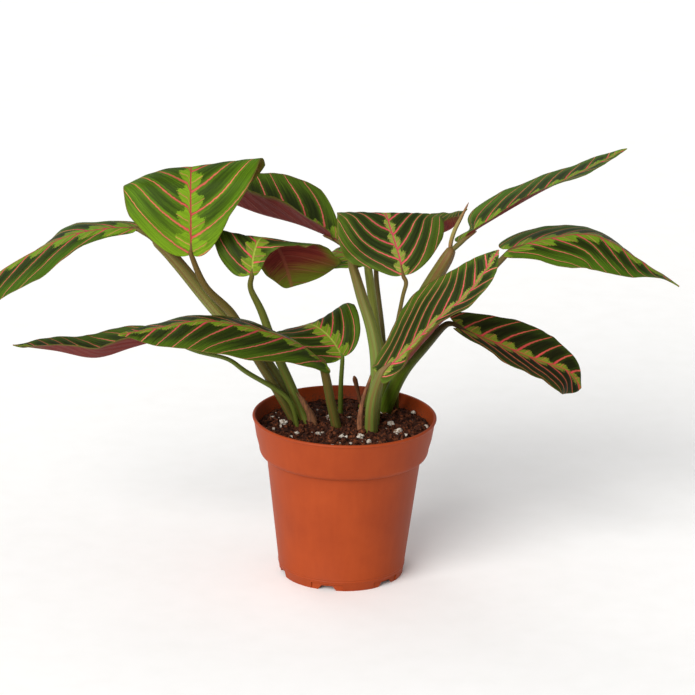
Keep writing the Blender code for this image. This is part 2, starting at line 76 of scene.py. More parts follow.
class Recipe:
    """A material being made: its node tree and the Principled shader at its end."""

    def __init__(self, name: str) -> None:
        """Start a material with a bare Principled shader."""
        self.material = bpy.data.materials.new(name)
        self.material.use_nodes = True
        self.tree = self.material.node_tree

    def fill(self, node: bpy.types.Node, inputs: tuple | dict) -> None:
        """Give a node its values and links.

        Args:
            node: the node.
            inputs: a tuple for its usable sockets in their order, or a dict by socket name. Each
                entry is a plain value, a hex colour, or a node or socket to link from.
        """
        if isinstance(inputs, dict):
            pairs = [(node.inputs[name], value) for name, value in inputs.items()]
        else:
            pairs = zip([socket for socket in node.inputs if socket.enabled], inputs)
        for socket, value in pairs:
            if isinstance(value, bpy.types.Node):
                value = next(out for out in value.outputs if out.enabled)
            if isinstance(value, bpy.types.NodeSocket):
                self.tree.links.new(value, socket)
            else:
                socket.default_value = hex_linear(value) if isinstance(value, str) else value

    def add(self, kind: str, inputs: tuple | dict = (), **settings: object) -> bpy.types.Node:
        """Add one node with its settings, values and links.

        Args:
            kind: the node's type name without its "ShaderNode" start.
            inputs: its values and links, as fill takes them.
            settings: property values; "stops" fills a colour ramp with greys or hex colours.

        Returns:
            The new node.
        """
        node = self.tree.nodes.new("ShaderNode" + kind)
        stops = settings.pop("stops", ())
        for name, value in settings.items():
            setattr(node, name, value)
        for _ in range(len(stops) - 2):
            node.color_ramp.elements.new(0.5)
        for k, (place, tone) in enumerate(stops):
            node.color_ramp.elements[k].position = place
            node.color_ramp.elements[k].color = (
                hex_linear(tone) if isinstance(tone, str) else (tone, tone, tone, 1))
        self.fill(node, inputs)
        return node

    def finish(self, inputs: dict) -> bpy.types.Material:
        """Fill the shader's own inputs and hand over the material."""
        self.fill(self.tree.nodes["Principled BSDF"], inputs)
        return self.material


# ---- finishes ---------------------------------------------------------------------------------
@dataclass(frozen=True)
class LeafTissue:
    """Living leaf, waxy above: lime feathering, dark blotches and rose veins on green.

    The wax gives a soft satin shine; the veins stand proud, so light breaks along them, with a
    painted highlight.
    """

    name: str
    green: str = "#465F10"
    deep_green: str = "#324408"
    blotch: str = "#1F2607"
    lime: str = "#6E861E"
    vein: str = "#A83640"
    vein_edge: str = "#B26650"
    midrib: str = "#A83C3C"
    blotch_strength: float = 0.88
    blotch_reach: float = 0.74
    vein_width: float = 0.095
    band_mm: float = 6.5
    roughness: float = 0.5
    green_rim: float = 0.92
    base_pale: float = 0.12

    def upper(self) -> bpy.types.Material:
        """Make the upper face's material."""
        making = Recipe(f"waxed_leaf_upper_{self.name}")
        add = making.add
        unit = add("SeparateXYZ", (add("Attribute", attribute_name="leaf_grid").outputs["Vector"],))
        size = add("SeparateXYZ", (add("Attribute", attribute_name="leaf_mm").outputs["Vector"],))
        flat = add("CombineXYZ", (size.outputs[0], size.outputs[1]))
        # ragged growth: edges of the markings wander by about a millimetre
        ragged = add("TexNoise", (flat, 0.42, 3.0, 0.62), noise_dimensions="2D")
        wander = add("Math", (ragged, 0.1, size.outputs[2]), operation="MULTIPLY_ADD")
        order = add("Math", (wander, -0.05), operation="ADD")
        phase = add("Math", (order,), operation="FRACT")
        to_vein = add("Math", (order, 0.5), operation="PINGPONG")
        reach = unit.outputs[2]
        across = add("Math", (size.outputs[1],), operation="ABSOLUTE")
        # lateral veins, about 2 mm wide at the midrib and half of that at the margin
        breadth = add("MapRange", (reach, 0.0, 0.98, self.vein_width, self.vein_width * 0.42))
        inner = add("Math", (breadth, 0.45), operation="MULTIPLY")
        vein = add("MapRange", (to_vein, inner, breadth, 1.0, 0.0), **SMOOTH)
        # lime feathers: one lobe between each pair of veins, fullest before the middle
        lobe = add("ValToRGB", (phase,),
                   stops=((0.0, 0.42), (0.06, 0.52), (0.2, 0.82), (0.4, 1.0), (0.54, 0.94),
                          (0.66, 0.62), (0.8, 0.44), (1.0, 0.42)))
        teeth = add("TexNoise", (flat, 1.15, 2.0, 0.5), noise_dimensions="2D")
        shrink = add("MapRange",
                     (unit.outputs[0], 0.05, 0.95, self.band_mm * 1.12, self.band_mm * 0.45))
        band = add("Math", (lobe, shrink), operation="MULTIPLY")
        toothed = add("Math", (teeth, 3.4, band), operation="MULTIPLY_ADD")
        past = add("Math", (across, toothed), operation="SUBTRACT")
        lime = add("MapRange", (past, -2.3, -1.2, 1.0, 0.0), **SMOOTH)
        # fine striping, about 1 mm apart, runs out along the laterals
        lanes = add("CombineXYZ", (order, reach, unit.outputs[1]))
        stretch = add("Mapping", {"Vector": lanes, "Scale": (13.0, 1.1, 1.0)})
        stripes = add("TexNoise", (stretch, 1.0, 4.0, 0.7))
        wide = add("Mapping", {"Vector": lanes, "Scale": (7.0, 0.9, 1.0)})
        streaks = add("TexNoise", (wide, 1.0, 5.0, 0.75))
        # dark blotches between the veins, fading out before the margin
        span = add("ValToRGB", (phase,),
                   stops=((0.0, 0.0), (0.1, 0.25), (0.24, 1.0), (0.72, 1.0), (0.9, 0.35),
                          (1.0, 0.0)))
        frayed = add("Math", (streaks, 0.42, reach), operation="MULTIPLY_ADD")
        fade = add("MapRange",
                   (frayed, self.blotch_reach - 0.02, self.blotch_reach + 0.4,
                    self.blotch_strength, 0.0), **SMOOTH)
        blot = add("Math", (span, fade), operation="MULTIPLY")
        base = add("Mix", (add("MapRange", (stripes, 0.32, 0.68)), self.deep_green, self.green),
                   **COLOR)
        # new tissue round the petiole stays pale
        new = add("MapRange", (unit.outputs[0], 0.0, 0.3, self.base_pale, 0.0), **SMOOTH)
        base = add("Mix", (new, base, self.lime), **COLOR)
        kept = add("Math", (1.0, new), operation="SUBTRACT")
        blot = add("Math", (blot, kept), operation="MULTIPLY")
        blotched = add("Mix", (blot, base, self.blotch), **COLOR)
        pale = add("Mix", (stripes, self.lime, self.green), **COLOR)
        pale = add("Mix", (0.62, pale, self.lime), **COLOR)
        feathered = add("Mix", (lime, blotched, pale), **COLOR)
        rose = add("Mix", (reach, self.vein, self.vein_edge), **COLOR)
        # each vein gets a painted highlight along its crest and painted shade on its flanks
        vein_painted_highlight_and_shade = add("MapRange", (to_vein, 0.0, breadth, 1.35, 0.45), **SMOOTH)
        rose = add("Mix", (1.0, rose, vein_painted_highlight_and_shade), **TINT)
        veined = add("Mix", (vein, feathered, rose), **COLOR)
        # a fainter vein forks into each lime feather
        fork = add("Math", (add("Math", (order, 0.62), operation="ADD"), 0.5),
                   operation="PINGPONG")
        fork_line = add("MapRange", (fork, 0.012, 0.034, 0.75, 0.0), **SMOOTH)
        fork_end = add("Math", (lime, fork_line), operation="MULTIPLY")
        veined = add("Mix", (fork_end, veined, self.vein_edge), **COLOR)
        rib_edge = add("MapRange", (unit.outputs[0], 0.0, 1.0, 0.8, 0.35))
        rib = add("MapRange", (across, 0.25, rib_edge, 1.0, 0.0), **SMOOTH)
        ribbed = add("Mix", (rib, veined, self.midrib), **COLOR)
        hem = add("MapRange", (reach, 0.965, 1.0, 0.0, 0.7))
        hemmed = add("Mix", (hem, ribbed, "#6A5A2A"), **COLOR)
        grain = add("MapRange", (stripes, 0.36, 0.64, 0.62, 1.26))
        striped = add("Mix", (1.0, hemmed, grain), **TINT)
        sheen = add("MapRange", (stripes, 0.0, 1.0, self.roughness - 0.06, self.roughness + 0.12))
        height = add("Math", (stripes, 0.35, vein), operation="MULTIPLY_ADD")
        raised = add("Math", (height, rib), operation="MAXIMUM")
        bump = add("Bump", {"Strength": 0.55, "Distance": 0.00035, "Height": raised})
        return making.finish({"Base Color": striped, "Roughness": sheen, "Normal": bump,
                              "IOR": 1.43, "Specular IOR Level": 0.08})

    def under(self, wine: str = "#571A1A", wine_light: str = "#80342A",
              rim: str = "#5A6A1A") -> bpy.types.Material:
        """Make the underside's material, wine red with raised paler veins.

        Args:
            wine: the deep colour between the veins.
            wine_light: the lighter streaks.
            rim: the green near the margin and the tip.

        Returns:
            The material.
        """
        making = Recipe(f"matt_leaf_underside_{self.name}")
        add = making.add
        unit = add("SeparateXYZ", (add("Attribute", attribute_name="leaf_grid").outputs["Vector"],))
        size = add("SeparateXYZ", (add("Attribute", attribute_name="leaf_mm").outputs["Vector"],))
        lanes = add("CombineXYZ", (size.outputs[2], unit.outputs[2], unit.outputs[1]))
        stretch = add("Mapping", {"Vector": lanes, "Scale": (13.0, 1.4, 1.0)})
        stripes = add("TexNoise", (stretch, 1.0, 4.0, 0.7))
        mottled = add("MapRange", (stripes, 0.3, 0.7))
        body = add("Mix", (mottled, wine, wine_light), **COLOR)
        far = add("Math", (unit.outputs[2], unit.outputs[0]), operation="MAXIMUM")
        ragged = add("Math", (stripes, 0.3, far), operation="MULTIPLY_ADD")
        edge = add("MapRange", (ragged, self.green_rim, self.green_rim + 0.3), **SMOOTH)
        rimmed = add("Mix", (edge, body, rim), **COLOR)
        to_vein = add("Math", (size.outputs[2], 0.5), operation="PINGPONG")
        vein = add("MapRange", (to_vein, 0.01, 0.07, 1.0, 0.0), **SMOOTH)
        across = add("Math", (size.outputs[1],), operation="ABSOLUTE")
        rib = add("MapRange", (across, 0.5, 1.5, 1.0, 0.0), **SMOOTH)
        raised = add("Math", (vein, rib), operation="MAXIMUM")
        faint = add("Math", (raised, 0.5), operation="MULTIPLY")
        veined = add("Mix", (faint, rimmed, "#8A4A38"), **COLOR)
        soft = add("MapRange", (stripes, 0.0, 1.0, 0.45, 0.66))
        bump = add("Bump", {"Strength": 0.6, "Distance": 0.0005, "Height": raised})
        return making.finish({"Base Color": veined, "Roughness": soft, "Normal": bump, "IOR": 1.4,
                              "Specular IOR Level": 0.06})


@dataclass(frozen=True)
class StalkTissue:
    """Living stalk: a juicy green rod with fine ribs and a soft shine, browner where it ages."""

    name: str
    foot: str
    middle: str
    top: str
    streak: str = "#6B4A24"
    streak_amount: float = 0.45
    roughness: float = 0.4

    def material(self) -> bpy.types.Material:
        """Make the stalk's material."""
        making = Recipe(f"ribbed_stalk_{self.name}")
        add = making.add
        place = add("Attribute", attribute_name="stalk_unit")
        split = add("SeparateXYZ", (place.outputs["Vector"],))
        # ribs run the stalk's whole length, about 0.2 mm apart round a thick one
        stretch = add("Mapping", {"Vector": place.outputs["Vector"], "Scale": (2.2, 9.0, 9.0)})
        ribs = add("TexNoise", (stretch, 1.6, 5.0, 0.72))
        length = add("ValToRGB", (split.outputs[0],),
                     stops=((0.0, self.foot), (0.45, self.middle), (1.0, self.top)))
        # the rib noise tints the colour too: darker streaks are the stalk's own colour, the paler
        # ridges a painted highlight
        rib_streaks_and_highlight = add("MapRange", (ribs, 0.34, 0.66, 0.58, 1.3))
        tinted = add("Mix", (1.0, length, rib_streaks_and_highlight), **TINT)
        coarse = add("Mapping", {"Vector": place.outputs["Vector"], "Scale": (1.3, 2.4, 2.4)})
        patches = add("TexNoise", (coarse, 1.0, 3.0, 0.6))
        red = add("MapRange", (patches, 0.44, 0.6, 0.0, self.streak_amount), **SMOOTH)
        streaked = add("Mix", (red, tinted, self.streak), **COLOR)
        gloss = add("MapRange", (ribs, 0.0, 1.0, self.roughness - 0.05, self.roughness + 0.18))
        bump = add("Bump", {"Strength": 0.5, "Distance": 0.0004, "Height": ribs})
        return making.finish({"Base Color": streaked, "Roughness": gloss, "Normal": bump,
                              "IOR": 1.42, "Specular IOR Level": 0.25})


@dataclass(frozen=True)
class DryHusk:
    """Dead sheath tissue, dried and papery: matt, fibrous and brittle looking."""

    light: str = "#8A5A34"
    dark: str = "#4A2A16"

    def material(self) -> bpy.types.Material:
        """Make the husk's material."""
        making = Recipe("dried_papery_husk")
        add = making.add
        coords = add("TexCoord")
        stretch = add("Mapping",
                      {"Vector": coords.outputs["Object"], "Scale": (900.0, 900.0, 160.0)})
        fibre = add("TexNoise", (stretch, 1.0, 4.0, 0.7))
        color = add("Mix", (add("MapRange", (fibre, 0.35, 0.65)), self.dark, self.light), **COLOR)
        bump = add("Bump", {"Strength": 0.7, "Distance": 0.0004, "Height": fibre})
        return making.finish({"Base Color": color, "Roughness": 0.82, "Normal": bump})


@dataclass(frozen=True)
class MouldedPolypropylene:
    """Injection moulded polypropylene, terracotta coloured: waxy satin with faint flow marks.

    The flow marks and rubbed scuffs break the shine, so the wall doesn't read as paint.
    """

    body: str = "#9C4018"
    deep: str = "#8D3714"
    dust: str = "#5A3420"

    def material(self) -> bpy.types.Material:
        """Make the pot's material."""
        making = Recipe("moulded_polypropylene_terracotta")
        add = making.add
        coords = add("TexCoord")
        spot = coords.outputs["Object"]
        # clouding a few centimetres wide, from pigment that never mixes quite evenly
        cloud = add("TexNoise", (spot, 34.0, 4.0, 0.6))
        flow_map = add("Mapping", {"Vector": spot, "Scale": (260, 260, 18)})
        flow = add("TexNoise", (flow_map, 1.0, 3.0, 0.55))
        blend = add("Math", (flow, 0.35, cloud), operation="MULTIPLY_ADD")
        color = add("Mix", (add("MapRange", (blend, 0.45, 0.95)), self.deep, self.body), **COLOR)
        # peat dust clings inside the rim, thicker towards the peat
        split = add("SeparateXYZ", (spot,))
        round_map = add("CombineXYZ", (split.outputs[0], split.outputs[1]))
        radius = add("VectorMath", (round_map,), operation="LENGTH")
        slope = add("Math", (split.outputs[2], -0.19, radius.outputs["Value"]),
                    operation="MULTIPLY_ADD")
        within = add("Math", (slope, 0.0342), operation="LESS_THAN")
        low = add("ValToRGB", (add("Math", (split.outputs[2], 10.0), operation="MULTIPLY"),),
                  stops=((0.0, 0.0), (0.84, 0.0), (0.85, 1.0), (0.89, 0.9), (0.925, 0.15),
                         (1.0, 0.0)))
        grit = add("TexNoise", (spot, 900.0, 3.0, 0.7))
        specks = add("MapRange", (grit, 0.45, 0.62))
        dusty = add("Math", (within, low), operation="MULTIPLY")
        dusted = add("Math", (dusty, specks), operation="MULTIPLY")
        final = add("Mix", (dusted, color, self.dust), **COLOR)
        rub = add("MapRange", (cloud, 0.0, 1.0, 0.44, 0.6))
        grain = add("Math", (flow, 0.6, grit), operation="MULTIPLY_ADD")
        bump = add("Bump", {"Strength": 0.12, "Distance": 0.0002, "Height": grain})
        return making.finish({"Base Color": final, "Roughness": rub, "Normal": bump, "IOR": 1.49,
                              "Specular IOR Level": 0.16})


@dataclass(frozen=True)
class MoistPeat:
    """Moist milled peat: near black brown, crumbly, with red-brown fibres catching light."""

    dark: str = "#150804"
    middle: str = "#34180C"
    light: str = "#84492A"

    def material(self, name: str, lift: float = 1.0) -> bpy.types.Material:
        """Make a peat material.

        Args:
            name: what the material is for.
            lift: how much lighter than the bed the pieces are.

        Returns:
            The material.
        """
        making = Recipe(f"milled_moist_peat_{name}")
        add = making.add
        coords = add("TexCoord")
        crumb = add("TexNoise", (coords.outputs["Object"], 420.0, 5.0, 0.7))
        # the crumb noise also raises the bump: its light end is partly the peat's own mottling,
        # partly a painted highlight on the raised crumbs
        color = add("ValToRGB", (crumb,),
                    stops=((0.3, self.dark), (0.5, self.middle), (0.72, self.light)))
        bright = add("Mix", (1.0, color, (lift, lift, lift, 1)), **TINT)
        bump = add("Bump", {"Strength": 1.0, "Distance": 0.001, "Height": crumb})
        return making.finish({"Base Color": bright, "Roughness": 0.88, "Normal": bump,
                              "Specular IOR Level": 0.2})


@dataclass(frozen=True)
class ExpandedPerlite:
    """Expanded perlite, popped volcanic glass: chalky white foam, dirtied by the peat."""

    clean: str = "#D6CFC2"
    dirty: str = "#6E543E"

    def material(self) -> bpy.types.Material:
        """Make the perlite's material."""
        making = Recipe("expanded_perlite_chalky")
        add = making.add
        coords = add("TexCoord")
        pores = add("TexVoronoi", (coords.outputs["Object"], 1700.0))
        stain = add("TexNoise", (coords.outputs["Object"], 500.0, 3.0))
        color = add("Mix", (add("MapRange", (stain, 0.42, 0.66)), self.clean, self.dirty),
                    **COLOR)
        bump = add("Bump",
                   {"Strength": 0.8, "Distance": 0.0006, "Height": pores.outputs["Distance"]})
        return making.finish({"Base Color": color, "Roughness": 0.92, "Normal": bump})


# ---- curves -----------------------------------------------------------------------------------
def catmull_rom(points: np.ndarray, u: np.ndarray) -> np.ndarray:
    """Sample a smooth curve through points.

    Args:
        points: the curve's points, one row each.
        u: places along it, 0 to 1, evenly shared between the points.

    Returns:
        One row for each u.
    """
    spans = len(points) - 1
    place = np.clip(u, 0, 1) * spans
    index = np.minimum(place.astype(int), spans - 1)
    f = (place - index)[:, None]
    padded = np.vstack([2 * points[0] - points[1], points, 2 * points[-1] - points[-2]])
    a, b, c, d = padded[index], padded[index + 1], padded[index + 2], padded[index + 3]
    return 0.5 * (2 * b + (c - a) * f + (2 * a - 5 * b + 4 * c - d) * f ** 2
                  + (3 * b - a - 3 * c + d) * f ** 3)


def along(points: tuple, s: np.ndarray) -> tuple:
    """Walk a route at fractions of its length.

    Args:
        points: the route's points in mm.
        s: fractions, 0 to 1.

    Returns:
        Places, unit directions and the whole length.
    """
    route = np.array(points, float)
    fine = np.linspace(0, 1, 401)
    curve = catmull_rom(route, fine)
    run = np.concatenate([[0], np.cumsum(np.linalg.norm(np.diff(curve, axis=0), axis=1))])
    u = np.interp(s * run[-1], run, fine)
    tangent = catmull_rom(route, u + 1e-3) - catmull_rom(route, u - 1e-3)
    tangent /= np.linalg.norm(tangent, axis=1)[:, None]
    return catmull_rom(route, u), tangent, run[-1]


def keyed(values: tuple, s: np.ndarray) -> np.ndarray:
    """Interpolate evenly spaced values.

    Args:
        values: numbers or vectors, evenly spaced from 0 to 1.
        s: where to read them.

    Returns:
        One value for each s.
    """
    keys = np.array(values, float)
    if len(keys) == 1:
        keys = np.repeat(keys, 2, axis=0)
    grid = np.linspace(0, 1, len(keys))
    if keys.ndim == 1:
        return np.interp(s, grid, keys)
    return np.stack([np.interp(s, grid, keys[:, k]) for k in range(keys.shape[1])], -1)


def square_to(face: np.ndarray, tangent: np.ndarray) -> np.ndarray:
    """Turn facing vectors square to a route's directions, at unit length."""
    face = face - np.sum(face * tangent, axis=1)[:, None] * tangent
    return face / np.linalg.norm(face, axis=1)[:, None]


# ---- making pieces ----------------------------------------------------------------------------
def make_piece(name: str, verts: np.ndarray, faces: list, materials: list, slot: str,
               nodes: tuple, smooth: bool = True) -> bpy.types.Object:
    """Turn arrays into a named piece that rides with the plant.

    Args:
        name: the piece's name.
        verts: points in mm.
        faces: lists of point numbers.
        materials: the piece's materials.
        slot: not used.
        nodes: the CAD nodes that it stands for.
        smooth: whether it's shaded smooth.

    Returns:
        The new object.
    """
    mesh = bpy.data.meshes.new(name)
    mesh.from_pydata((np.asarray(verts) * MM).tolist(), [], faces)
    mesh.validate()
    mesh.update()
    for material in materials:
        mesh.materials.append(material)
    mesh.polygons.foreach_set("use_smooth", [smooth] * len(mesh.polygons))
    piece = bpy.data.objects.new(name, mesh)
    bpy.context.scene.collection.objects.link(piece)
    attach(piece, "root")
    if nodes:
        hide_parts(*nodes)
    LOG.info("%s: %d faces", name, len(mesh.polygons))
    return piece


def set_attribute(piece: bpy.types.Object, name: str, values: np.ndarray) -> None:
    """Store a vector for every point of a piece.

    Args:
        piece: the piece.
        name: the attribute's name.
        values: one row of three numbers for each point.
    """
    layer = piece.data.attributes.new(name, "FLOAT_VECTOR", "POINT")
    layer.data.foreach_set("vector", np.asarray(values, np.float32).ravel())


def node_centre(node: str) -> np.ndarray:
    """Middle of a CAD node's box, in mm."""
    low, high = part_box(node)
    return np.array((low + high) / 2) / MM


def grid_faces(rows: int, cols: int, closed: bool = False, start: int = 0) -> list:
    """Quads between neighbouring rows of points.

    Args:
        rows: how many rows.
        cols: points in each row.
        closed: whether each row closes on itself.
        start: the first point's number.

    Returns:
        Four point numbers for each quad, row by row.
    """
    return [(start + r * cols + c, start + r * cols + (c + 1) % cols,
             start + (r + 1) * cols + (c + 1) % cols, start + (r + 1) * cols + c)
            for r in range(rows - 1) for c in range(cols if closed else cols - 1)]


def close_sheet(sheet: np.ndarray, offset: np.ndarray) -> tuple:
    """Thicken a grid of points to a closed sheet.

    Args:
        sheet: the middle surface's points, as a grid.
        offset: from there to the upper face, as a grid.

    Returns:
        The points, and the faces: the upper ones, as many lower ones, then the edge.
    """
    rows, cols = sheet.shape[:2]
    count, cells = rows * cols, grid_faces(rows, cols)
    faces = [cell[::-1] for cell in cells]
    faces += [tuple(count + k for k in cell) for cell in cells]
    border = (list(range(cols)) + [r * cols + cols - 1 for r in range(1, rows)]
              + [count - 1 - k for k in range(1, cols)]
              + [r * cols for r in range(rows - 2, 0, -1)])
    faces += [(first, after, after + count, first + count)
              for first, after in zip(border, border[1:] + border[:1])]
    verts = np.concatenate([(sheet + offset).reshape(-1, 3), (sheet - offset).reshape(-1, 3)])
    return verts, faces


def ball(subdivisions: int) -> tuple:
    """Points and faces of a unit ball, as arrays."""
    bm = bmesh.new()
    bmesh.ops.create_icosphere(bm, subdivisions=subdivisions, radius=1.0)
    points = np.array([v.co for v in bm.verts])
    cells = np.array([[v.index for v in f.verts] for f in bm.faces])
    bm.free()
    return points, cells


# ---- leaf blades ------------------------------------------------------------------------------
@dataclass
class LeafBlade:
    """One leaf blade, grown along its midrib, with waves, quilting and a thin edge."""

    node: str
    tissue: LeafTissue
    midrib: tuple
    facing: tuple
    left: tuple
    right: tuple
    lift_left: tuple = (0,)
    lift_right: tuple = (0,)
    curl_left: tuple = (0,)
    curl_right: tuple = (0,)
    base_fullness: float = 0.5
    tip_fullness: float = 0.78
    lobe_sweep: float = 0.05
    pairs: float = 9.0
    wave_mm: float = 1.0
    bend: float = 0.55
    sweep: tuple = (0.5, 0.5)
    seed: int = 0
    rows: int = 97
    columns: int = 45
    thickness_mm: float = 0.4

    def half_width(self, s: np.ndarray) -> np.ndarray:
        """Outline: half width over the widest half width.

        Args:
            s: fractions along the midrib.

        Returns:
            One ratio for each s.
        """
        a, b = self.base_fullness, self.tip_fullness
        widest = a / (a + b)
        shape = s ** a * (1 - s) ** b / (widest ** a * (1 - widest) ** b)
        # the last fifth draws in to the point
        taper = np.clip((s - 0.82) / 0.18, 0, 1)
        return shape * (1 - 0.35 * taper * taper * (3 - 2 * taper))

    def surface(self) -> tuple:
        """Lay out the blade's middle surface.

        Returns:
            Points, normals, the leaf_grid values and the leaf_mm values, as grids.
        """
        s = 0.5 - 0.5 * np.cos(np.pi * np.linspace(0, 1, self.rows))
        place, tangent, length = along(self.midrib, s)
        face = square_to(keyed(self.facing, s), tangent)
        across = np.cross(tangent, face)
        outline = self.half_width(s)
        fold = np.clip(outline / 0.4, 0, 1)
        shape = (self.rows, self.columns)
        sheet, normal = np.zeros(shape + (3,)), np.zeros(shape + (3,))
        grid, real = np.zeros(shape + (3,)), np.zeros(shape + (3,))
        # the curl's arc is walked in sixteen short steps
        steps = (np.arange(16) + 0.5) / 16
        # a slow and a quick ripple run along each margin
        ripple = {side: np.array([
            2.6 * noise.noise(Vector((x * 5.5, side * 3.7, self.seed * 1.9)))
            + 1.1 * noise.noise(Vector((x * 13.0, side * 5.1, self.seed * 2.7))) for x in s])
            for side in (1, -1)}
        widest = max(max(self.left), max(self.right))
        for j, t in enumerate(np.linspace(-1, 1, self.columns)):
            side = 1 if t >= 0 else -1
            wide = keyed(self.right if side > 0 else self.left, s)
            reach = np.maximum(wide * outline, 0.5) * abs(t)
            lift = np.radians(keyed(self.lift_right if side > 0 else self.lift_left, s)) * fold
            curl = np.radians(keyed(self.curl_right if side > 0 else self.curl_left, s)) * fold
            angle = lift[:, None] + curl[:, None] * steps[None, :] * abs(t)
            out = np.cos(angle).mean(axis=1) * reach * side
            up = np.sin(angle).mean(axis=1) * reach
            end = lift + curl * abs(t)
            if not t:
                end = (lift - np.radians(keyed(self.lift_left, s)) * fold) / 2
            # the two lobes beside the petiole swing back in round arcs
            back = self.lobe_sweep * length * t * t * (1 - s) ** 4 * np.clip(
                wide / 20, 0, 1) * np.sin(np.pi * np.clip(outline / 0.95, 0, 1)) ** 0.75
            out_dir = face * np.cos(end)[:, None] - across * (np.sin(end) * side)[:, None]
            # the laterals leave the midrib at about fifty degrees and bend towards the tip
            run = (s * length - back - self.sweep[side > 0] * reach
                   - self.bend * reach ** 2 / widest)
            order = self.pairs * run / length + (0.30 if side > 0 else 0.0)
            # tissue swells between the laterals, by up to 0.4 mm
            quilt = 0.38 * (0.5 - 0.5 * np.cos(2 * np.pi * order)) * 4 * abs(t) * (1 - abs(t))
            waves = self.wave_mm * abs(t) ** 2.2 * fold * ripple[side]
            sheet[:, j] = (place + across * out[:, None] + face * up[:, None]
                           - tangent * back[:, None] + out_dir * (quilt + waves)[:, None])
            normal[:, j] = out_dir
            grid[:, j] = np.stack([s, np.full_like(s, t), np.full_like(s, abs(t))], -1)
            real[:, j] = np.stack([s * length, reach * side, order + 10], -1)
        return sheet, normal, grid, real

    def build(self) -> bpy.types.Object:
        """Build the blade where its CAD node is."""
        sheet, normal, grid, real = self.surface()
        edge = 1 - 0.7 * np.abs(np.linspace(-1, 1, self.columns)) ** 6
        half = (self.thickness_mm / 2 * edge)[None, :, None]
        verts, faces = close_sheet(sheet, normal * half)
        piece = make_piece(self.node + "_blade", verts, faces,
                           [self.tissue.upper(), self.tissue.under()], "leaf", (self.node,))
        under, cells = np.zeros(len(faces), np.int32), (self.rows - 1) * (self.columns - 1)
        under[cells:2 * cells] = 1
        piece.data.polygons.foreach_set("material_index", under)
        for name, values in (("leaf_grid", grid), ("leaf_mm", real)):
            set_attribute(piece, name, np.concatenate([values.reshape(-1, 3)] * 2))
        return piece


# ---- stalks -----------------------------------------------------------------------------------
@dataclass
class Stalk:
    """A stalk or sheath: a tapering rod with shallow flutes.

    A route that starts at the peat is rooted in it, and join runs the head into what it carries.
    """

    node: str
    tissue: StalkTissue
    route: tuple
    radii: tuple
    slot: str = "petiole"
    join: tuple = ()
    join_radii: tuple = (1.1, 0.5)
    flute: float = 0.05
    sides: int = 20
    rings_per_span: int = 9

    def build(self) -> bpy.types.Object:
        """Build the stalk where its CAD node is."""
        route, radii = list(self.route), list(self.radii)
        x, y, z = route[0]
        if z == FOOT_Z:
            route.insert(0, (x, y, z - ROOT_DEPTH))
            radii.insert(0, radii[0] * 1.04)
        if self.join:
            route += self.join
            radii += self.join_radii
        rings = self.rings_per_span * (len(route) - 1) + 1
        u = np.linspace(0, 1, rings)
        place = catmull_rom(np.array(route, float), u)
        tangent = np.gradient(place, axis=0)
        tangent /= np.linalg.norm(tangent, axis=1)[:, None]
        radius = np.interp(u, np.linspace(0, 1, len(radii)), radii)
        # the head is rounded off
        radius[-2:] *= (0.8, 0.35)
        side = np.cross(tangent, (0, 1, 0))
        side /= np.linalg.norm(side, axis=1)[:, None]
        other = np.cross(side, tangent)
        turn = 2 * np.pi * np.arange(self.sides) / self.sides
        flute = 1 + self.flute * np.cos(4 * turn + 0.6)
        ring = (np.cos(turn) * flute)[None, :, None] * side[:, None, :] \
            + (np.sin(turn) * flute)[None, :, None] * other[:, None, :]
        verts = place[:, None, :] + ring * radius[:, None, None]
        faces = grid_faces(rings, self.sides, closed=True)
        faces.append(tuple(range(self.sides))[::-1])
        faces.append(tuple((rings - 1) * self.sides + k for k in range(self.sides)))
        piece = make_piece(self.node + "_stalk", verts.reshape(-1, 3), faces,
                           [self.tissue.material()], self.slot, (self.node,))
        unit = np.stack(np.broadcast_arrays(u[:, None], np.cos(turn)[None, :],
                                            np.sin(turn)[None, :]), -1)
        set_attribute(piece, "stalk_unit", unit.reshape(-1, 3))
        bm = bmesh.new()
        bm.from_mesh(piece.data)
        bmesh.ops.recalc_face_normals(bm, faces=bm.faces)
        bm.to_mesh(piece.data)
        bm.free()
        return piece


@dataclass
class HuskScale:
    """A dry, curled scale of dead sheath clinging to a stem base."""

    node: str
    finish: DryHusk
    route: tuple
    width_mm: float = 2.6
    curl: float = 150.0
    half_thickness_mm: float = 0.12

    def build(self) -> bpy.types.Object:
        """Build the scale as a thin rolled ribbon with a torn tip."""
        rows, cols = 30, 13
        s = np.linspace(0, 1, rows)
        place, tangent, _ = along(self.route, s)
        face = square_to(np.tile((0.2, -1.0, 0.2), (rows, 1)), tangent)
        across = np.cross(tangent, face)
        t = np.linspace(-1, 1, cols)
        width = self.width_mm * (1 - 0.75 * s ** 2)[:, None] * (1 + 0.12 * np.sin(9 * s))[:, None]
        angle = np.radians(self.curl) * t[None, :] / 2
        out, up = np.sin(angle) * width, -(1 - np.cos(angle)) * width
        torn = np.zeros((rows, cols))
        torn[-3:, :] = 1.6 * np.sin(5.0 * t)[None, :] * np.array([0.3, 0.7, 1.0])[:, None]
        sheet = place[:, None, :] + across[:, None, :] * out[..., None] \
            + face[:, None, :] * up[..., None] + tangent[:, None, :] * torn[..., None]
        out_dir = across[:, None, :] * np.sin(angle)[..., None] \
            + face[:, None, :] * np.cos(angle)[..., None]
        verts, faces = close_sheet(sheet, out_dir * self.half_thickness_mm)
        return make_piece(self.node + "_scale", verts, faces, [self.finish.material()], "husk",
                          (self.node,))


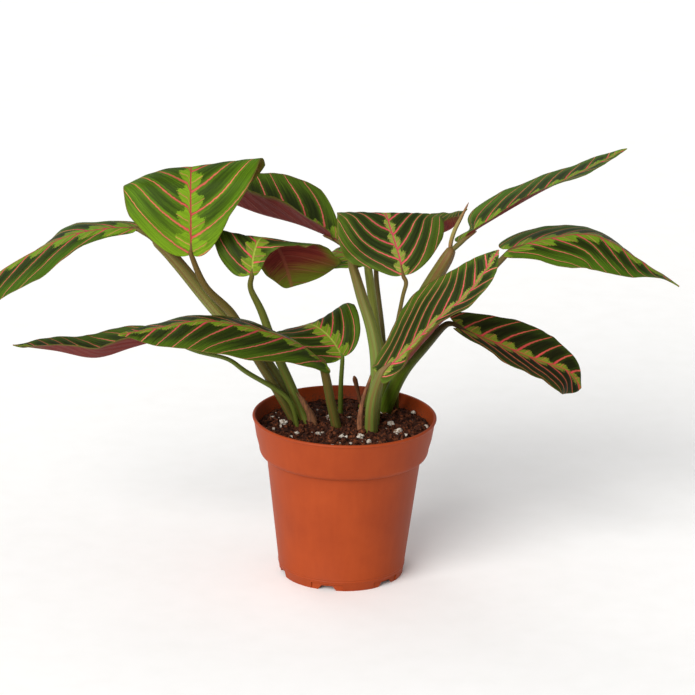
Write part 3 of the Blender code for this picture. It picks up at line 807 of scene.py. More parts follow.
# ---- the pot ----------------------------------------------------------------------------------
@dataclass
class NurseryPot:
    """The pot, turned from one profile, with its foot notches and drain holes cut."""

    node: str = "pot"
    height: float = field(init=False)
    rim_radius: float = field(init=False)
    base_radius: float = 35.8
    wall: float = 1.2
    segments: int = 192
    collar_foot_z: float = 76.3
    collar_foot_radius: float = 48.9
    shoulder_z: float = 71.4
    shoulder_radius: float = 44.5
    foot_line_z: float = 5.6
    channel: float = 3.8
    pad_radius: float = 20.0
    notches: int = 6
    notch_width: float = 10.0
    notch_height: float = 2.7
    first_notch_angle: float = -103.0
    drain_radius: float = 3.5
    drain_circle: float = 28.5

    def __post_init__(self) -> None:
        """Read the height and the rim from the CAD pot."""
        low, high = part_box(self.node)
        self.height = (high.z - low.z) / MM
        self.rim_radius = (high.x - low.x) / 2 / MM

    def wall_radius(self, z: float) -> float:
        """Outer radius of the straight lower wall at height z, mm."""
        return self.base_radius + (self.shoulder_radius - self.base_radius) * z / self.shoulder_z

    def profile(self) -> list:
        """Closed half section as (radius, z) points: under the pad, out, up, over and back."""
        top, rim, collar = self.height, self.rim_radius, self.rim_radius - 0.8
        floor = self.channel + self.wall
        foot, line = self.base_radius, self.foot_line_z
        lip = [(rim - 0.95 + 0.95 * math.cos(a), top - 0.95 + 0.95 * math.sin(a))
               for a in np.radians(np.arange(-70, 200, 22.5))]
        neck, brim = self.shoulder_radius, self.collar_foot_radius
        step = [(neck + r, self.shoulder_z + z) for r, z in (
            (0.0, -0.3), (0.12, 0.1), (0.5, 0.28), (2.2, 0.5))]
        under = [(brim + r, self.collar_foot_z + z) for r, z in (
            (-1.9, -4.2), (-1.0, -3.5), (-0.42, -2.4), (-0.1, -1.1), (0.05, 0.4))]
        return [
            (0, 0), (self.pad_radius - 0.4, 0), (self.pad_radius, 0.2),
            (self.pad_radius + 2.5, self.channel), (foot - 1.6, self.channel),
            (foot - 1.4, 0.4), (foot - 1.15, 0.05), (foot - 0.35, 0.0), (foot, 0.45),
            (self.wall_radius(line - 0.5), line - 0.5), (self.wall_radius(line) + 0.26, line),
            (self.wall_radius(line + 0.4) + 0.02, line + 0.4),
            (self.wall_radius(line + 0.9) + 0.02, line + 0.9),
            (self.wall_radius(line + 1.3) + 0.22, line + 1.3),
            (self.wall_radius(line + 1.8), line + 1.8),
            (self.wall_radius(30), 30), (self.wall_radius(60), 60), *step, *under,
            (collar - 1.6, top - 12), (collar - 0.05, top - 2.6), *lip,
            (collar - self.wall, top - 3.0),
            (self.collar_foot_radius - self.wall, self.collar_foot_z + 1.4),
            (self.shoulder_radius - self.wall + 0.6, self.shoulder_z + 1.8),
            (self.shoulder_radius - self.wall, self.shoulder_z),
            (self.wall_radius(floor) - self.wall, floor),
            (self.pad_radius + 1.5, floor), (self.pad_radius - 1.0, self.wall), (0, self.wall),
        ]

    def sector(self, bm: bmesh.types.BMesh, radii: tuple, width: tuple, top: float,
               centre: float) -> None:
        """Add a curved block that straddles the foot wall.

        Args:
            bm: the mesh that gets it.
            radii: inner and outer radius, mm.
            width: width at the floor and at the top, mm.
            top: height of its top, mm.
            centre: the angle of its middle, degrees.
        """
        steps, rows = 10, []
        for k in range(steps + 1):
            share = 2 * k / steps - 1
            row = []
            for z, wide in ((-1.0, width[0]), (top, width[1])):
                for radius in radii:
                    a = math.radians(centre) + share * wide / 2 / self.base_radius
                    row.append(bm.verts.new((radius * math.cos(a) * MM,
                                             radius * math.sin(a) * MM, z * MM)))
            rows.append(row)
        for first, after in zip(rows, rows[1:]):
            for i, j in ((0, 1), (1, 3), (3, 2), (2, 0)):
                bm.faces.new((first[i], first[j], after[j], after[i]))
        bm.faces.new([rows[0][k] for k in (0, 2, 3, 1)])
        bm.faces.new([rows[-1][k] for k in (0, 1, 3, 2)])

    def cutters(self) -> bpy.types.Object:
        """Make one joined cutter for the foot's recesses and openings and the drain holes."""
        bm = bmesh.new()
        foot = self.base_radius
        for k in range(self.notches):
            angle = self.first_notch_angle + 360 / self.notches * k
            self.sector(bm, (foot - 0.55, foot + 2), (19.0, 19.0), self.notch_height + 1.3, angle)
            self.sector(bm, (foot - 2.4, foot + 1.5), (self.notch_width + 3.0, 6.6),
                        self.notch_height, angle)
            turn = Matrix.Rotation(math.radians(angle + 180 / self.notches), 4, "Z")
            place = turn @ Matrix.Translation((self.drain_circle * MM, 0,
                                               (self.channel + self.wall / 2) * MM))
            bmesh.ops.create_cone(bm, cap_ends=True, segments=28, depth=3 * self.wall * MM,
                                  radius1=self.drain_radius * MM,
                                  radius2=self.drain_radius * MM, matrix=place)
        bmesh.ops.recalc_face_normals(bm, faces=bm.faces)
        mesh = bpy.data.meshes.new("pot_cutters")
        bm.to_mesh(mesh)
        bm.free()
        cutter = bpy.data.objects.new("pot_cutters", mesh)
        bpy.context.scene.collection.objects.link(cutter)
        return cutter

    def build(self, finish: MouldedPolypropylene) -> bpy.types.Object:
        """Turn, cut and dress the pot.

        Args:
            finish: the plastic it is moulded from.

        Returns:
            The pot.
        """
        turn = 2 * np.pi * np.arange(self.segments) / self.segments
        verts, rings = [], []
        for radius, z in self.profile():
            if radius == 0:
                rings.append([len(verts)] * self.segments)
                verts.append((0, 0, z))
                continue
            rings.append(list(range(len(verts), len(verts) + self.segments)))
            verts += [(radius * math.cos(a), radius * math.sin(a), z) for a in turn]
        faces = []
        for ring, following in zip(rings, rings[1:]):
            for k in range(self.segments):
                after = (k + 1) % self.segments
                corners = list(dict.fromkeys((ring[k], ring[after], following[after],
                                              following[k])))
                if len(corners) > 2:
                    faces.append(tuple(corners))
        pot = make_piece("nursery_pot", np.array(verts), faces, [finish.material()], "pot",
                         (self.node,))
        cutter = self.cutters()
        boolean = pot.modifiers.new("notches_and_drains", "BOOLEAN")
        boolean.operation, boolean.solver, boolean.object = "DIFFERENCE", "EXACT", cutter
        boolean.use_self = True
        graph = bpy.context.evaluated_depsgraph_get()
        cut = bpy.data.meshes.new_from_object(pot.evaluated_get(graph))
        pot.modifiers.clear()
        pot.data = cut
        bpy.data.objects.remove(cutter, do_unlink=True)
        cut.polygons.foreach_set("use_smooth", [True] * len(cut.polygons))
        cut.set_sharp_from_angle(angle=math.radians(34))
        return pot


# ---- the peat ---------------------------------------------------------------------------------
@dataclass
class PeatBed:
    """The peat in the pot: an uneven bed, loose crumbs, fibres and perlite."""

    node: str = "soil"
    seed: int = 7
    crumbs: int = 1900
    fibres: int = 420
    grains: int = 95
    inner_radius: float = 49.6
    # (radius, z) points down the pot's inside, below the surface
    body: tuple = ((47.6, 78.8), (43.2, 73.5), (42.7, 71.4), (34.3, 5.6), (21.0, 5.5),
                   (17.6, 1.7))
    top: float = field(init=False)

    def __post_init__(self) -> None:
        """Read the peat's level from the CAD."""
        self.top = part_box(self.node)[1].z / MM

    def level(self, x: float, y: float) -> float:
        """Height of the peat's surface at a place, mm.

        Args:
            x: across, mm.
            y: towards the back, mm.

        Returns:
            The height above the floor, mm.
        """
        lump = noise.fractal(Vector((x * 0.16, y * 0.16, 3.1)), 0.9, 2.1, 4)
        crumble = noise.fractal(Vector((x * 0.45, y * 0.45, 7.7)), 0.8, 2.2, 3)
        heap = 1.0 * math.exp(-(x * x + y * y) / 900.0)
        return self.top + 0.2 + heap + 0.95 * lump + 0.95 * crumble

    def bed(self, finish: MoistPeat) -> bpy.types.Object:
        """Build the bed: a displaced disc on a plain body that follows the pot's inside."""
        rings, turns = 70, 220
        verts, faces = [(0, 0, self.level(0, 0))], []
        for r in range(1, rings + 1):
            radius = self.inner_radius * r / rings
            for k in range(turns):
                a = 2 * math.pi * k / turns
                x, y = radius * math.cos(a), radius * math.sin(a)
                verts.append((x, y, self.level(x, y)))
        for radius, z in self.body:
            verts += [(radius * math.cos(2 * math.pi * k / turns),
                       radius * math.sin(2 * math.pi * k / turns), z) for k in range(turns)]
        verts.append((0, 0, self.body[-1][1]))
        for k in range(turns):
            faces.append((0, 1 + k, 1 + (k + 1) % turns))
        total = rings + len(self.body)
        faces += [(a, d, c, b) for a, b, c, d in grid_faces(total, turns, True, 1)]
        last = 1 + (total - 1) * turns
        for k in range(turns):
            faces.append((last + (k + 1) % turns, last + k, len(verts) - 1))
        return make_piece("peat_bed", np.array(verts), faces, [finish.material("bed")], "soil",
                          (self.node,))

    def scatter(self, name: str, count: int, sizes: tuple, squash: float, material: object,
                slot: str, inner: float = 0.0) -> bpy.types.Object:
        """Strew lumpy grains over the peat, joined in one piece.

        Args:
            name: the piece's name.
            count: how many grains.
            sizes: smallest and largest radius, mm.
            squash: height over width.
            material: the grains' material.
            slot: a material slot name, handed on to make_piece.
            inner: radius left bare in the middle, mm.

        Returns:
            The piece.
        """
        rng = np.random.default_rng(self.seed + count)
        points, cells = ball(2)
        verts, faces = [], []
        for k in range(count):
            radius = sizes[0] + (sizes[1] - sizes[0]) * rng.random() ** 4
            away = math.sqrt(rng.random()) * (self.inner_radius - radius - 0.4 - inner) + inner
            a = rng.random() * 2 * math.pi
            x, y = away * math.cos(a), away * math.sin(a)
            lumps = 1 + 0.28 * np.sin(points @ rng.normal(0, 2.4, 3) + rng.random() * 6)
            spin = np.array(Matrix.Rotation(rng.random() * 6.28, 3, Vector(rng.normal(0, 1, 3))))
            shape = (points * lumps[:, None] * (1, 0.8, squash)) @ spin.T * radius
            verts.append(shape + (x, y, self.level(x, y) + radius * 0.25))
            faces.append(cells + k * len(points))
        return make_piece(name, np.concatenate(verts), np.concatenate(faces).tolist(),
                          [material], slot, ())

    def threads(self, finish: MoistPeat) -> bpy.types.Object:
        """Lay short curved fibres on the peat, joined in one piece."""
        rng = np.random.default_rng(self.seed)
        verts, faces, start = [], [], 0
        for _ in range(self.fibres):
            away, a = math.sqrt(rng.random()) * (self.inner_radius - 4), rng.random() * 6.283
            head = rng.random() * 6.283
            length, bend = 2.5 + 7 * rng.random() ** 2, rng.normal(0, 0.25)
            x, y, radius = away * math.cos(a), away * math.sin(a), 0.09 + 0.12 * rng.random()
            path = []
            for k in range(6):
                if math.hypot(x, y) > self.inner_radius - 1:
                    break
                path.append((x, y, self.level(x, y) + 0.35 + 0.9 * math.sin(k * 0.9)
                             * rng.random()))
                x, y = x + math.cos(head) * length / 5, y + math.sin(head) * length / 5
                head += bend
            if len(path) < 3:
                continue
            for p in path:
                for turn in range(4):
                    ang = turn * math.pi / 2
                    verts.append((p[0] - math.sin(head) * math.cos(ang) * radius,
                                  p[1] + math.cos(head) * math.cos(ang) * radius,
                                  p[2] + math.sin(ang) * radius))
            faces += grid_faces(len(path), 4, True, start)
            faces.append((start + 3, start + 2, start + 1, start))
            end = start + (len(path) - 1) * 4
            faces.append((end, end + 1, end + 2, end + 3))
            start += len(path) * 4
        return make_piece("peat_fibres", np.array(verts), faces,
                          [finish.material("fibres", 2.6)], "soil", ())

    def build(self, peat: MoistPeat, perlite: ExpandedPerlite) -> None:
        """Build the bed and everything that lies on it.

        Args:
            peat: the peat's finish.
            perlite: the perlite's finish.
        """
        self.bed(peat)
        self.scatter("peat_crumbs", self.crumbs, (0.25, 2.3), 0.55,
                     peat.material("crumbs", 1.25), "soil")
        self.threads(peat)
        white = perlite.material()
        self.scatter("perlite_grains", self.grains, (0.35, 2.3), 0.7, white, "perlite")
        self.chips(white)

    def chips(self, white: bpy.types.Material) -> None:
        """Build the larger perlite chips where the CAD has them.

        Args:
            white: the perlite material.
        """
        rng = np.random.default_rng(self.seed + 5)
        names = sorted(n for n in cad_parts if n.startswith("perlite"))
        points, cells = ball(3)
        for name in names:
            low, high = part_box(name)
            half = np.array((high - low) / 2) / MM
            push = rng.normal(0, 1.0, 3)
            rough = np.array([noise.fractal(Vector(p * 1.6 + push), 0.8, 2.0, 3) for p in points])
            shape = points * (0.94 + 0.5 * np.round(rough * 5, 0) / 5)[:, None] * half * (1, 0.9, 0.8)
            make_piece(name + "_chip", shape + node_centre(name) - (0, 0, 0.35),
                       cells.tolist(), [white],
                       "perlite", (name,))


# ---- studio -----------------------------------------------------------------------------------
@dataclass
class Studio:
    """Pale floor, white surroundings, soft lights and the camera."""

    elevation: float = 18.4
    roll: float = 1.3
    distance: float = 2.2
    lens: float = 199.4
    target: tuple = (0.0008, 0.0, 0.1357)

    def floor(self) -> None:
        """Lay a wide pale floor under the pot."""
        making = Recipe("matt_white_board")
        add = making.add
        coords = add("TexCoord")
        tooth = add("TexNoise", (coords.outputs["Object"], 60.0, 3.0))
        tone = add("Mix", (tooth, "#F6F6F5", "#FCFCFC"), **COLOR)
        mesh = bpy.data.meshes.new("floor")
        mesh.from_pydata([(-12, -12, 0), (12, -12, 0), (12, 12, 0), (-12, 12, 0)], [],
                         [(0, 1, 2, 3)])
        mesh.materials.append(making.finish(
            {"Base Color": tone, "Roughness": 0.9, "Specular IOR Level": 0.1}))
        board = bpy.data.objects.new("floor", mesh)
        bpy.context.scene.collection.objects.link(board)

    def light(self, name: str, place: tuple, strength: float, spread: float,
              color: tuple) -> None:
        """Hang one soft distant light that looks at the plant.

        Args:
            name: the light's name.
            place: where it shines from, m.
            strength: its irradiance, W per square metre.
            spread: its angular width in degrees; wider is softer.
            color: linear RGB.
        """
        lamp = bpy.data.lights.new(name, "SUN")
        lamp.energy, lamp.angle, lamp.color = strength, math.radians(spread), color
        holder = bpy.data.objects.new(name, lamp)
        holder.location = place
        aim = Vector((0, 0, 0.13)) - Vector(place)
        holder.rotation_euler = aim.to_track_quat("-Z", "Y").to_euler()
        bpy.context.scene.collection.objects.link(holder)

    def camera(self) -> None:
        """Stand the camera in front, looking a little down."""
        lift = math.radians(self.elevation)
        back = Vector((0, -math.cos(lift), math.sin(lift)))
        data = bpy.data.cameras.new("camera")
        data.lens, data.sensor_width, data.clip_start = self.lens, 36.0, 0.05
        holder = bpy.data.objects.new("camera", data)
        holder.location = Vector(self.target) + back * self.distance
        turn = (-back).to_track_quat("-Z", "Y").to_matrix().to_4x4()
        turn = turn @ Matrix.Rotation(math.radians(self.roll), 4, "Z")
        holder.rotation_euler = turn.to_euler()
        bpy.context.scene.collection.objects.link(holder)
        bpy.context.scene.camera = holder

    def build(self) -> None:
        """Set up the floor, the lights and the camera."""
        world = bpy.data.worlds.new("white_surround")
        world.use_nodes = True
        sky = world.node_tree.nodes["Background"]
        sky.inputs["Color"].default_value = (1.0, 1.0, 1.0, 1)
        sky.inputs["Strength"].default_value = 0.5
        bpy.context.scene.world = world
        bpy.context.scene.view_settings.view_transform = "Standard"
        self.floor()
        self.light("key_left", (-1.35, -2.2, 1.5), 3.5, 46, (1.0, 0.985, 0.96))
        self.light("rim_back_left", (-0.9, 1.4, 1.6), 0.35, 30, (1.0, 1.0, 1.0))
        self.camera()


# ---- the plant --------------------------------------------------------------------------------
class Growth(Enum):
    """How a blade is coloured."""

    BRIGHT = LeafTissue("bright", green="#52740F", deep_green="#3E5A0A", blotch="#2A3C08",
                        lime="#6E9018", vein="#A0403A", vein_edge="#B4704A",
                        midrib="#9A3A36", blotch_strength=0.8, band_mm=8.2,
                        base_pale=0.75)
    DARK = LeafTissue("dark")
    BLACKENED = LeafTissue("blackened", green="#36470F", deep_green="#26340A",
                           blotch="#1A1C08", lime="#7A8428", vein="#B0383C",
                           vein_edge="#B85A44", midrib="#B04038", blotch_strength=0.95,
                           blotch_reach=0.85, vein_width=0.125, band_mm=6.0)
    STRIPED = LeafTissue("striped", green="#4F661C", deep_green="#3B5012", blotch="#232D10",
                         lime="#84923A", vein="#B2404A", vein_edge="#B86C58",
                         midrib="#B04850", blotch_strength=0.95, blotch_reach=0.8,
                         vein_width=0.11, band_mm=3.8)
    FEATHERED = LeafTissue("feathered", green="#466612", deep_green="#344C0E",
                           lime="#6C8C1E", blotch_strength=0.88, blotch_reach=0.66,
                           vein_width=0.085, band_mm=7.6)
    LIMY = LeafTissue("limy", green="#476018", midrib="#8E9A3C", blotch_strength=0.85,
                      band_mm=6.5, green_rim=0.88)


GREEN_STALK = StalkTissue("green", "#55651D", "#5F6D26", "#5A4A1E")
BROWN_STALK = StalkTissue("brown", "#4A5420", "#5E5A26", "#5C3C1C", streak_amount=0.6)
THIN_GREEN = StalkTissue("thin_green", "#4E5A1B", "#586A22", "#566A22", streak_amount=0.2)
PALE_SHEATH = StalkTissue("pale_sheath", "#566A22", "#6C7A38", "#6E5A38", "#7A4A2E", 0.65)
BROWN_SHEATH = StalkTissue("brown_sheath", "#4C5420", "#757C3A", "#6E6A36", "#6A3E22", 0.6)
BRIGHT_FOOT = StalkTissue("bright_foot", "#668A1C", "#3F3A12", "#4A2A10", "#3A2410", 0.4)
YOUNG_ROLL = StalkTissue("young_roll", "#8A5A3A", "#8A8A48", "#7A5A38", "#8A4A38", 0.6)
DEAD_STALK = StalkTissue("dead", "#5C3A20", "#6E4426", "#7A4A2C", "#3A2010", 0.7, 0.8)
FRESH_SHEATH = StalkTissue("fresh_sheath", "#66762E", "#6A7C34", "#5E5C28", "#7A4A2E", 0.4)
CLEAR_GREEN = StalkTissue("clear_green", "#6E7A2C", "#7B8332", "#7E8A38", "#7A6A30", 0.3)
RUSTY_SHEATH = StalkTissue("rusty_sheath", "#4E5C1C", "#56651F", "#6A5A2C", "#6E3E24", 0.65)
DRY_ROOT = StalkTissue("dry_root", "#6A3E22", "#7A4A2A", "#5A3018", "#3A2010", 0.5, 0.85)

# routes, facings, half widths, lifts and curls are each spaced evenly from petiole to tip
BLADES = (
    LeafBlade("leaf_far_left", Growth.FEATHERED.value,
              ((-122, 12, 200.5), (-140, 10, 200), (-164, 6, 194.5), (-197.5, 2, 176),
               (-229, 0, 148)), ((0, 0, 1), (0, 0, 1), (-0.3, 0, 1), (-0.5, 0, 1)),
              left=(8, 13, 26, 31, 29), right=(22, 24, 22, 26), lift_left=(-14, -16, -16),
              lift_right=(6, 2, -17, -24, -24), curl_left=(-8,), curl_right=(-8,),
              base_fullness=0.46, tip_fullness=0.7, seed=1, pairs=8, wave_mm=0.8,
              sweep=(1.3, 0.7)),
    LeafBlade("leaf_top_left", Growth.BRIGHT.value,
              ((-89, -2, 190), (-89.5, 2, 212), (-90, 8, 229.5), (-90, 22, 234.5),
               (-88, 36, 220.5), (-83.5, 52, 191)),
              ((0, -1, 0.3), (0, -1, 0.3), (-0.12, -0.6, 0.8), (-0.14, 0.2, 1), (0, 0.8, 0.5),
               (0, 0.9, 0.5)), left=(30, 40, 39, 31, 26, 24), right=(21, 25, 37, 46, 39, 30),
              lift_left=(4, 6, 6, 6, 2), lift_right=(4, 4, 2, 0, 0),
              curl_left=(-10, -14, -26, -28, -10), lobe_sweep=0.03, seed=2, pairs=8.5,
              wave_mm=0.9),
    LeafBlade("leaf_back", Growth.DARK.value,
              ((-6.5, 40, 187.5), (-29, 53, 192.5), (-53, 66, 195), (-75, 76, 200),
               (-95.5, 84, 203)), ((-0.2, -0.6, 1), (0, -0.5, 1)), left=(18, 24, 28, 28),
              right=(17, 27, 29, 29, 28), lift_left=(76,), lift_right=(17,), lobe_sweep=0, seed=3,
              pairs=8, wave_mm=0.9),
    LeafBlade("leaf_curled", Growth.LIMY.value,
              ((-54.5, 0, 178.5), (-53.5, 3, 189.5), (-50.5, 10, 196), (-45, 22, 192.5),
               (-38, 30, 180.5), (-32, 34, 160.5)),
              ((0, -1, 0.3), (0, -0.9, 0.5), (0, -0.1, 1), (0, 0.7, 0.5), (0, 1, 0), (0, 1, 0)),
              left=(31, 33, 28, 18, 14, 12), right=(10, 12, 25, 28, 31, 50),
              lift_left=(-8, -9, 2, 4), lift_right=(4, 4, 0, -7, -5, 6), curl_left=(-8,),
              curl_right=(0, 0, -4, -14, -10, 0), base_fullness=0.42, tip_fullness=0.22,
              lobe_sweep=0.06, seed=4, pairs=8, wave_mm=1.1, sweep=(0.5, 0.2)),
    LeafBlade("leaf_low_front", Growth.DARK.value,
              ((-13.5, -14, 132), (-26, -20, 143.5), (-47, -26, 153), (-79, -30, 159.5),
               (-107.5, -32, 155), (-128.5, -32, 150.5)),
              ((-0.2, -0.2, 1), (0, -0.1, 1), (0, -0.1, 1)), left=(22, 23, 29, 31, 25, 17),
              right=(14, 26, 29, 25, 24, 24), lift_left=(-10,), lift_right=(-12,),
              curl_left=(-10,), curl_right=(-6,), base_fullness=0.42, tip_fullness=0.6,
              lobe_sweep=0.06, seed=5, pairs=8.5, wave_mm=0.6, sweep=(0.8, 0.6)),
    LeafBlade("leaf_low_left", Growth.DARK.value,
              ((-104, 6, 137), (-122.5, 4, 131.5), (-143.5, 2, 125.5), (-166, -2, 130.5),
               (-190, -6, 134.5)), ((0, 0, 1),), left=(24,), right=(24,),
              lift_left=(35, 35, 33, 30, 20), lift_right=(17, 17, 16, 6, 0), lobe_sweep=0, seed=6,
              wave_mm=0.4, pairs=8, sweep=(0.9, 0.6)),
    LeafBlade("leaf_low_small", Growth.LIMY.value,
              ((-2, 18, 124), (-7, 19, 132), (-13, 22, 137.5), (-20, 28, 139.5), (-28, 38, 135),
               (-35, 46, 126.5)),
              ((-0.2, -1, 0.5), (-0.15, -0.6, 0.8), (0, -0.2, 1), (0.1, 0.3, 1)),
              left=(20, 24, 24, 20), right=(18, 26, 26, 13), lift_right=(0, -4, -8, -8),
              lobe_sweep=0.03, seed=7, pairs=7, wave_mm=0.8),
    LeafBlade("leaf_centre", Growth.STRIPED.value,
              ((31.5, 16, 175), (29, 20, 185.5), (23.5, 26, 200.5), (20.5, 33, 206.5),
               (17, 43, 198.5), (13, 52, 184)),
              ((0.16, -1, 0.3), (0.2, -1, 0.3), (0.25, -0.55, 0.8), (0.04, 0.2, 1),
               (0, 0.8, 0.5)), left=(17, 31, 32, 31, 28, 26), right=(20, 31, 33, 31, 28, 24),
              curl_left=(-6,), curl_right=(-6,), lobe_sweep=0.02, seed=8, pairs=8, wave_mm=0.8,
              bend=0.75),
    LeafBlade("leaf_behind_centre", Growth.DARK.value,
              ((23.5, 84, 172.5), (42, 80, 178), (59.5, 76, 185), (69, 74, 198)), ((0, 0, 1),),
              left=(24,), right=(22,), lift_left=(19,), lift_right=(38, 38, 38, 25), lobe_sweep=0,
              seed=9, wave_mm=0.4),
    LeafBlade("leaf_high_right", Growth.FEATHERED.value,
              ((68, 20, 197.5), (76, 16.5, 205), (106.5, 14, 225.5), (132.5, 18, 238.5),
               (157, 24, 250.5)), ((0, 0, 1),), left=(26, 28, 27, 24), right=(3, 9, 21, 23, 16),
              lift_left=(26, 7, -4, -10), lift_right=(10, 21, 21, 12, 4), base_fullness=0.3,
              tip_fullness=0.6, lobe_sweep=0.14, seed=10, wave_mm=0.5, pairs=8),
    LeafBlade("leaf_drooping_right", Growth.FEATHERED.value,
              ((93.5, 20, 190.5), (112, 18, 197.5), (140.5, 14, 201.5), (168, 10, 187.5),
               (189, 8, 174)), ((0, 0, 1),), left=(29, 29, 30, 29), right=(12, 26, 31, 22),
              lift_left=(8, -4, -10, -16, -18), lift_right=(-12, -24, -26, -20, -14),
              curl_right=(-10, -10, -10, 0, 60), base_fullness=0.3, lobe_sweep=0.09, seed=11,
              wave_mm=0.6, pairs=7.5, bend=0.75, sweep=(0.4, 1.2)),
    LeafBlade("leaf_low_right", Growth.BLACKENED.value,
              ((66, -10, 151.5), (82, -13, 146), (107.5, -16, 136.5), (126, -18, 130.5),
               (134, -18, 120.5)), ((0.2, -0.5, 1),), left=(19, 24, 27, 13),
              right=(10, 20, 26, 46), lift_right=(22, 22, 18, 0), base_fullness=0.32,
              tip_fullness=0.52, lobe_sweep=0.16, seed=12, pairs=7, wave_mm=0.5, bend=0.7,
              sweep=(0.4, 1.3)),
    LeafBlade("leaf_diagonal", Growth.STRIPED.value,
              ((20, -26, 129.5), (33, -28, 143), (51, -28, 163), (66, -26, 176), (75, -23, 187),
               (84.5, -18, 201.5)), ((-0.1, -0.9, 0.4),), left=(29, 31, 33, 34, 32),
              right=(16, 20, 20, 21, 21), lift_left=(-52, -48, -45, -39, -30),
              lift_right=(20, 35, 52, 50, 30), curl_right=(20, 90, 50, 10, 0), base_fullness=0.42,
              lobe_sweep=0.05, seed=13, wave_mm=0.5, pairs=8, bend=0.8, sweep=(1.0, 1.2)),
    LeafBlade("leaf_hidden_young", Growth.BRIGHT.value,
              ((10.5, 41, 175.6), (1, 46, 176.6), (-8.5, 56, 175.5), (-16.5, 68, 166.5)),
              ((0, -0.4, 1),), left=(16,), right=(16,), seed=14, pairs=7),
)

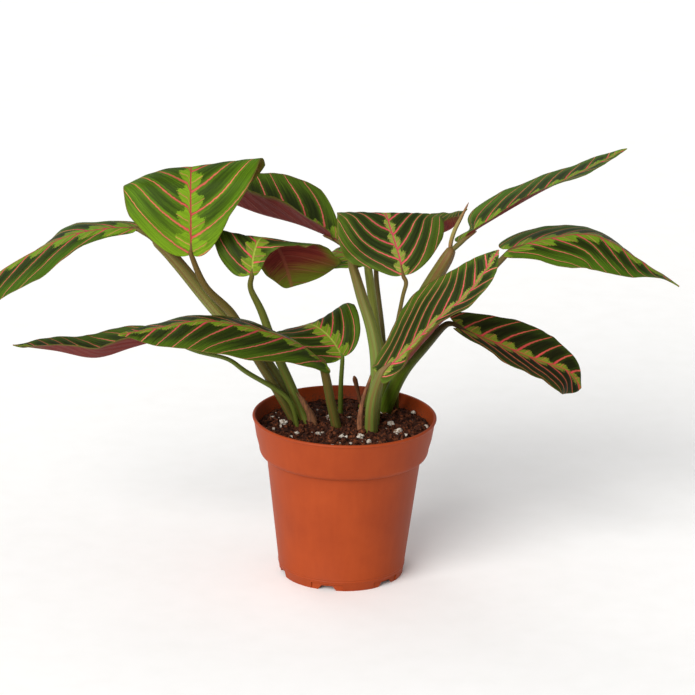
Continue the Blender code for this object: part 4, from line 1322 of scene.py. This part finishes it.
STALKS = (
    Stalk("sheath_left", BROWN_SHEATH,
          ((-25, 15, FOOT_Z), (-36.5, 13, 105), (-48, 12, 123.5), (-75.5, 11, 154),
           (-98.5, 10, 182.5), (-111.5, 10, 195)),
          (3.6, 3.9, 3.8, 3.8, 3.4, 2.2), "sheath", flute=0.1),
    Stalk("petiole_far_left", BROWN_STALK,
          ((-109, 10.2, 192.5), (-113, 10.5, 196.3), (-117, 11, 198.5), (-120.5, 12, 200)),
          (1.4, 1.6, 1.5, 1.4), join=((-124, 12, 200.0), (-130, 11.4, 199.7))),
    Stalk("petiole_top_left", BROWN_STALK,
          ((-29, 7, FOOT_Z), (-39, 5, 106.5), (-51.5, 4, 127.5), (-65.5, 4, 152.5),
           (-80.5, 1, 169.5), (-88.5, -2, 188.5)),
          (2.4, 2.4, 2.5, 2.6, 2.0, 1.4),
          join=((-89, -1.4, 192), (-89.2, -0.2, 198))),
    Stalk("petiole_curled", GREEN_STALK,
          ((-22, 5.5, FOOT_Z), (-32, 8, 110.5), (-40, 7, 129.5), (-48.5, 6, 153.5),
           (-55, 3, 168.5), (-54.5, 0.5, 177)),
          (2.9, 2.7, 2.5, 2.2, 1.6, 1.4),
          join=((-54.4, 0.9, 180), (-54, 2.4, 185)), join_radii=(1.0, 0.45)),
    Stalk("petiole_low_left", THIN_GREEN,
          ((-27, 0.5, FOOT_Z), (-33.5, 0, 104.5), (-56.5, 1, 119), (-68, 2, 126.5),
           (-85.5, 4, 130), (-102, 5.5, 136)),
          (1.3, 1.3, 1.4, 1.2, 1.1, 1.0),
          join=((-106, 6, 136.2), (-112, 5.6, 134)), join_radii=(0.9, 0.4)),
    Stalk("petiole_low_front", BROWN_STALK,
          ((-4.5, -0.5, FOOT_Z), (-8, -5, 104), (-10.5, -10, 118), (-13, -13.6, 129.6)),
          (2.9, 2.6, 2.5, 2.3), join=((-15, -14.6, 132.8), (-20, -17, 137)),
          join_radii=(1.7, 0.6)),
    Stalk("petiole_low_small", THIN_GREEN,
          ((-2.5, 22, FOOT_Z), (-2.5, 20, 107.5), (-2, 18.5, 122.5)),
          (1.5, 1.3, 1.2), join=((-3, 18.8, 126), (-5.4, 19.5, 130)),
          join_radii=(0.9, 0.4)),
    Stalk("dead_stub", DEAD_STALK,
          ((10.5, 27, FOOT_Z), (8, 25, 98.5), (5, 22, 111)), (1.0, 0.8, 1.4), "husk",
          flute=0.2),
    Stalk("petiole_diagonal", PALE_SHEATH,
          ((15.5, -8, FOOT_Z), (15.5, -13, 103), (17, -18, 115.5), (20, -25, 128)),
          (3.6, 3.5, 3.2, 2.6), "sheath", join=((21.5, -26, 131.5), (26, -26.8, 136.5)),
          join_radii=(1.8, 0.6), flute=0.08),
    Stalk("sheath_back", FRESH_SHEATH,
          ((16.5, 6, FOOT_Z), (18, 5, 119.5), (15, 9, 142), (8, 20, 161), (1, 34, 179.5)),
          (3.3, 3.5, 3.3, 3.0, 2.3), "sheath", flute=0.1),
    Stalk("petiole_back", BROWN_STALK,
          ((3, 32, 176), (-0.4, 36.5, 182.7), (-3, 38.5, 185), (-5.3, 39.7, 186.3)),
          (1.3, 1.5, 1.5, 1.4), join=((-9, 41.4, 187.6), (-15, 44.8, 188.8))),
    Stalk("sheath_hidden_young", CLEAR_GREEN,
          ((10.5, 36, FOOT_Z), (20, 28, 121), (17.5, 31, 134.5), (12, 38, 169.5),
           (10.5, 40, 174)),
          (2.6, 2.6, 2.6, 2.3, 1.3), "sheath", join=((9, 41.6, 175.6), (5, 43.8, 175.8)),
          join_radii=(0.9, 0.4)),
    Stalk("petiole_behind_centre", BROWN_STALK,
          ((11.5, 43.5, FOOT_Z), (21, 40, 117), (21, 43, 131), (16.5, 62, 162),
           (20, 78, 167.5), (22.8, 83, 170.8)),
          (1.5, 1.5, 1.5, 1.4, 1.3, 1.2),
          join=((25.5, 83.8, 172.6), (31, 82.4, 174)), join_radii=(0.9, 0.4)),
    Stalk("petiole_centre", BROWN_STALK,
          ((30, 33.5, FOOT_Z), (29.5, 24, 111.5), (28, 17, 135), (31.5, 14, 161),
           (33.5, 15, 170), (32, 16, 173.8)),
          (1.4, 1.3, 1.2, 1.1, 1.2, 1.2),
          join=((31.2, 16.8, 176.5), (30, 19, 182)), join_radii=(0.9, 0.4)),
    Stalk("sheath_right", RUSTY_SHEATH,
          ((19, 41, FOOT_Z), (23.5, 37, 104), (32, 33, 133), (47, 22, 166), (56, 18, 184),
           (59.5, 19, 191)),
          (4.0, 4.0, 4.0, 4.2, 3.6, 2.3), "sheath", flute=0.1),
    Stalk("petiole_high_right", BROWN_STALK,
          ((58.5, 18.5, 188.5), (61.5, 19, 191.6), (64, 19.5, 193.9), (66, 20, 195.7)),
          (1.3, 1.5, 1.5, 1.4), join=((68.4, 19.8, 197.6), (73, 17.8, 201.6))),
    Stalk("rolled_young_leaf", YOUNG_ROLL,
          ((58.4, 20.8, 188), (58.6, 21.5, 193.5), (60.6, 21, 201), (64, 21, 208.5),
           (68, 21, 217.5)), (1.1, 1.1, 1.1, 0.9, 0.3), "sheath", flute=0.16),
    Stalk("petiole_drooping_right", BROWN_STALK,
          ((26.7, 39.1, FOOT_Z), (31.5, 26, 121.5), (42.5, 22, 138), (74.5, 18, 170),
           (87, 19, 183.5), (92.5, 20, 189.3)),
          (1.8, 1.7, 1.7, 1.7, 1.7, 1.5),
          join=((95.5, 19.8, 191.2), (102, 19, 194))),
    Stalk("petiole_low_right", BRIGHT_FOOT,
          ((23, 29, FOOT_Z), (32, 9, 117.5), (46, 0, 138.5), (55, -6, 151.5), (60, -8, 154),
           (64.6, -9.8, 152.2)),
          (4.1, 3.8, 2.6, 2.0, 1.4, 1.3),
          join=((67.5, -10.6, 150.6), (74, -11.6, 148.4))),
    Stalk("curly_root", DRY_ROOT,
          ((27, 21, FOOT_Z), (28, 19.5, 90), (30, 21, 91.5), (31, 24, 90), (33, 25, 88.2)),
          (0.5, 0.5, 0.5, 0.5, 0.4), "husk", sides=10),
)

HUSKS = (
    HuskScale("husk_left", DryHusk(), ((-17.5, 1, FOOT_Z - 1), (-19, 1.5, 93),
                                       (-22.5, 1, 99.5), (-26.5, 1.5, 106))),
    HuskScale("husk_middle", DryHusk("#8E5A38", "#54301A"),
              ((9.6, -9.5, FOOT_Z - 1), (9.2, -11, 96), (10.5, -11.5, 108), (14.5, -15, 123)),
              width_mm=1.7),
)


def main() -> None:
    """Build every piece of the potted plant and the studio round it."""
    logging.basicConfig(level=logging.INFO, format="%(message)s")
    for blade in BLADES:
        blade.build()
    for stalk in STALKS:
        stalk.build()
    for husk in HUSKS:
        husk.build()
    NurseryPot().build(MouldedPolypropylene())
    PeatBed().build(MoistPeat(), ExpandedPerlite())
    Studio().build()
    bpy.context.view_layer.update()


if __name__ == "__main__":
    main()
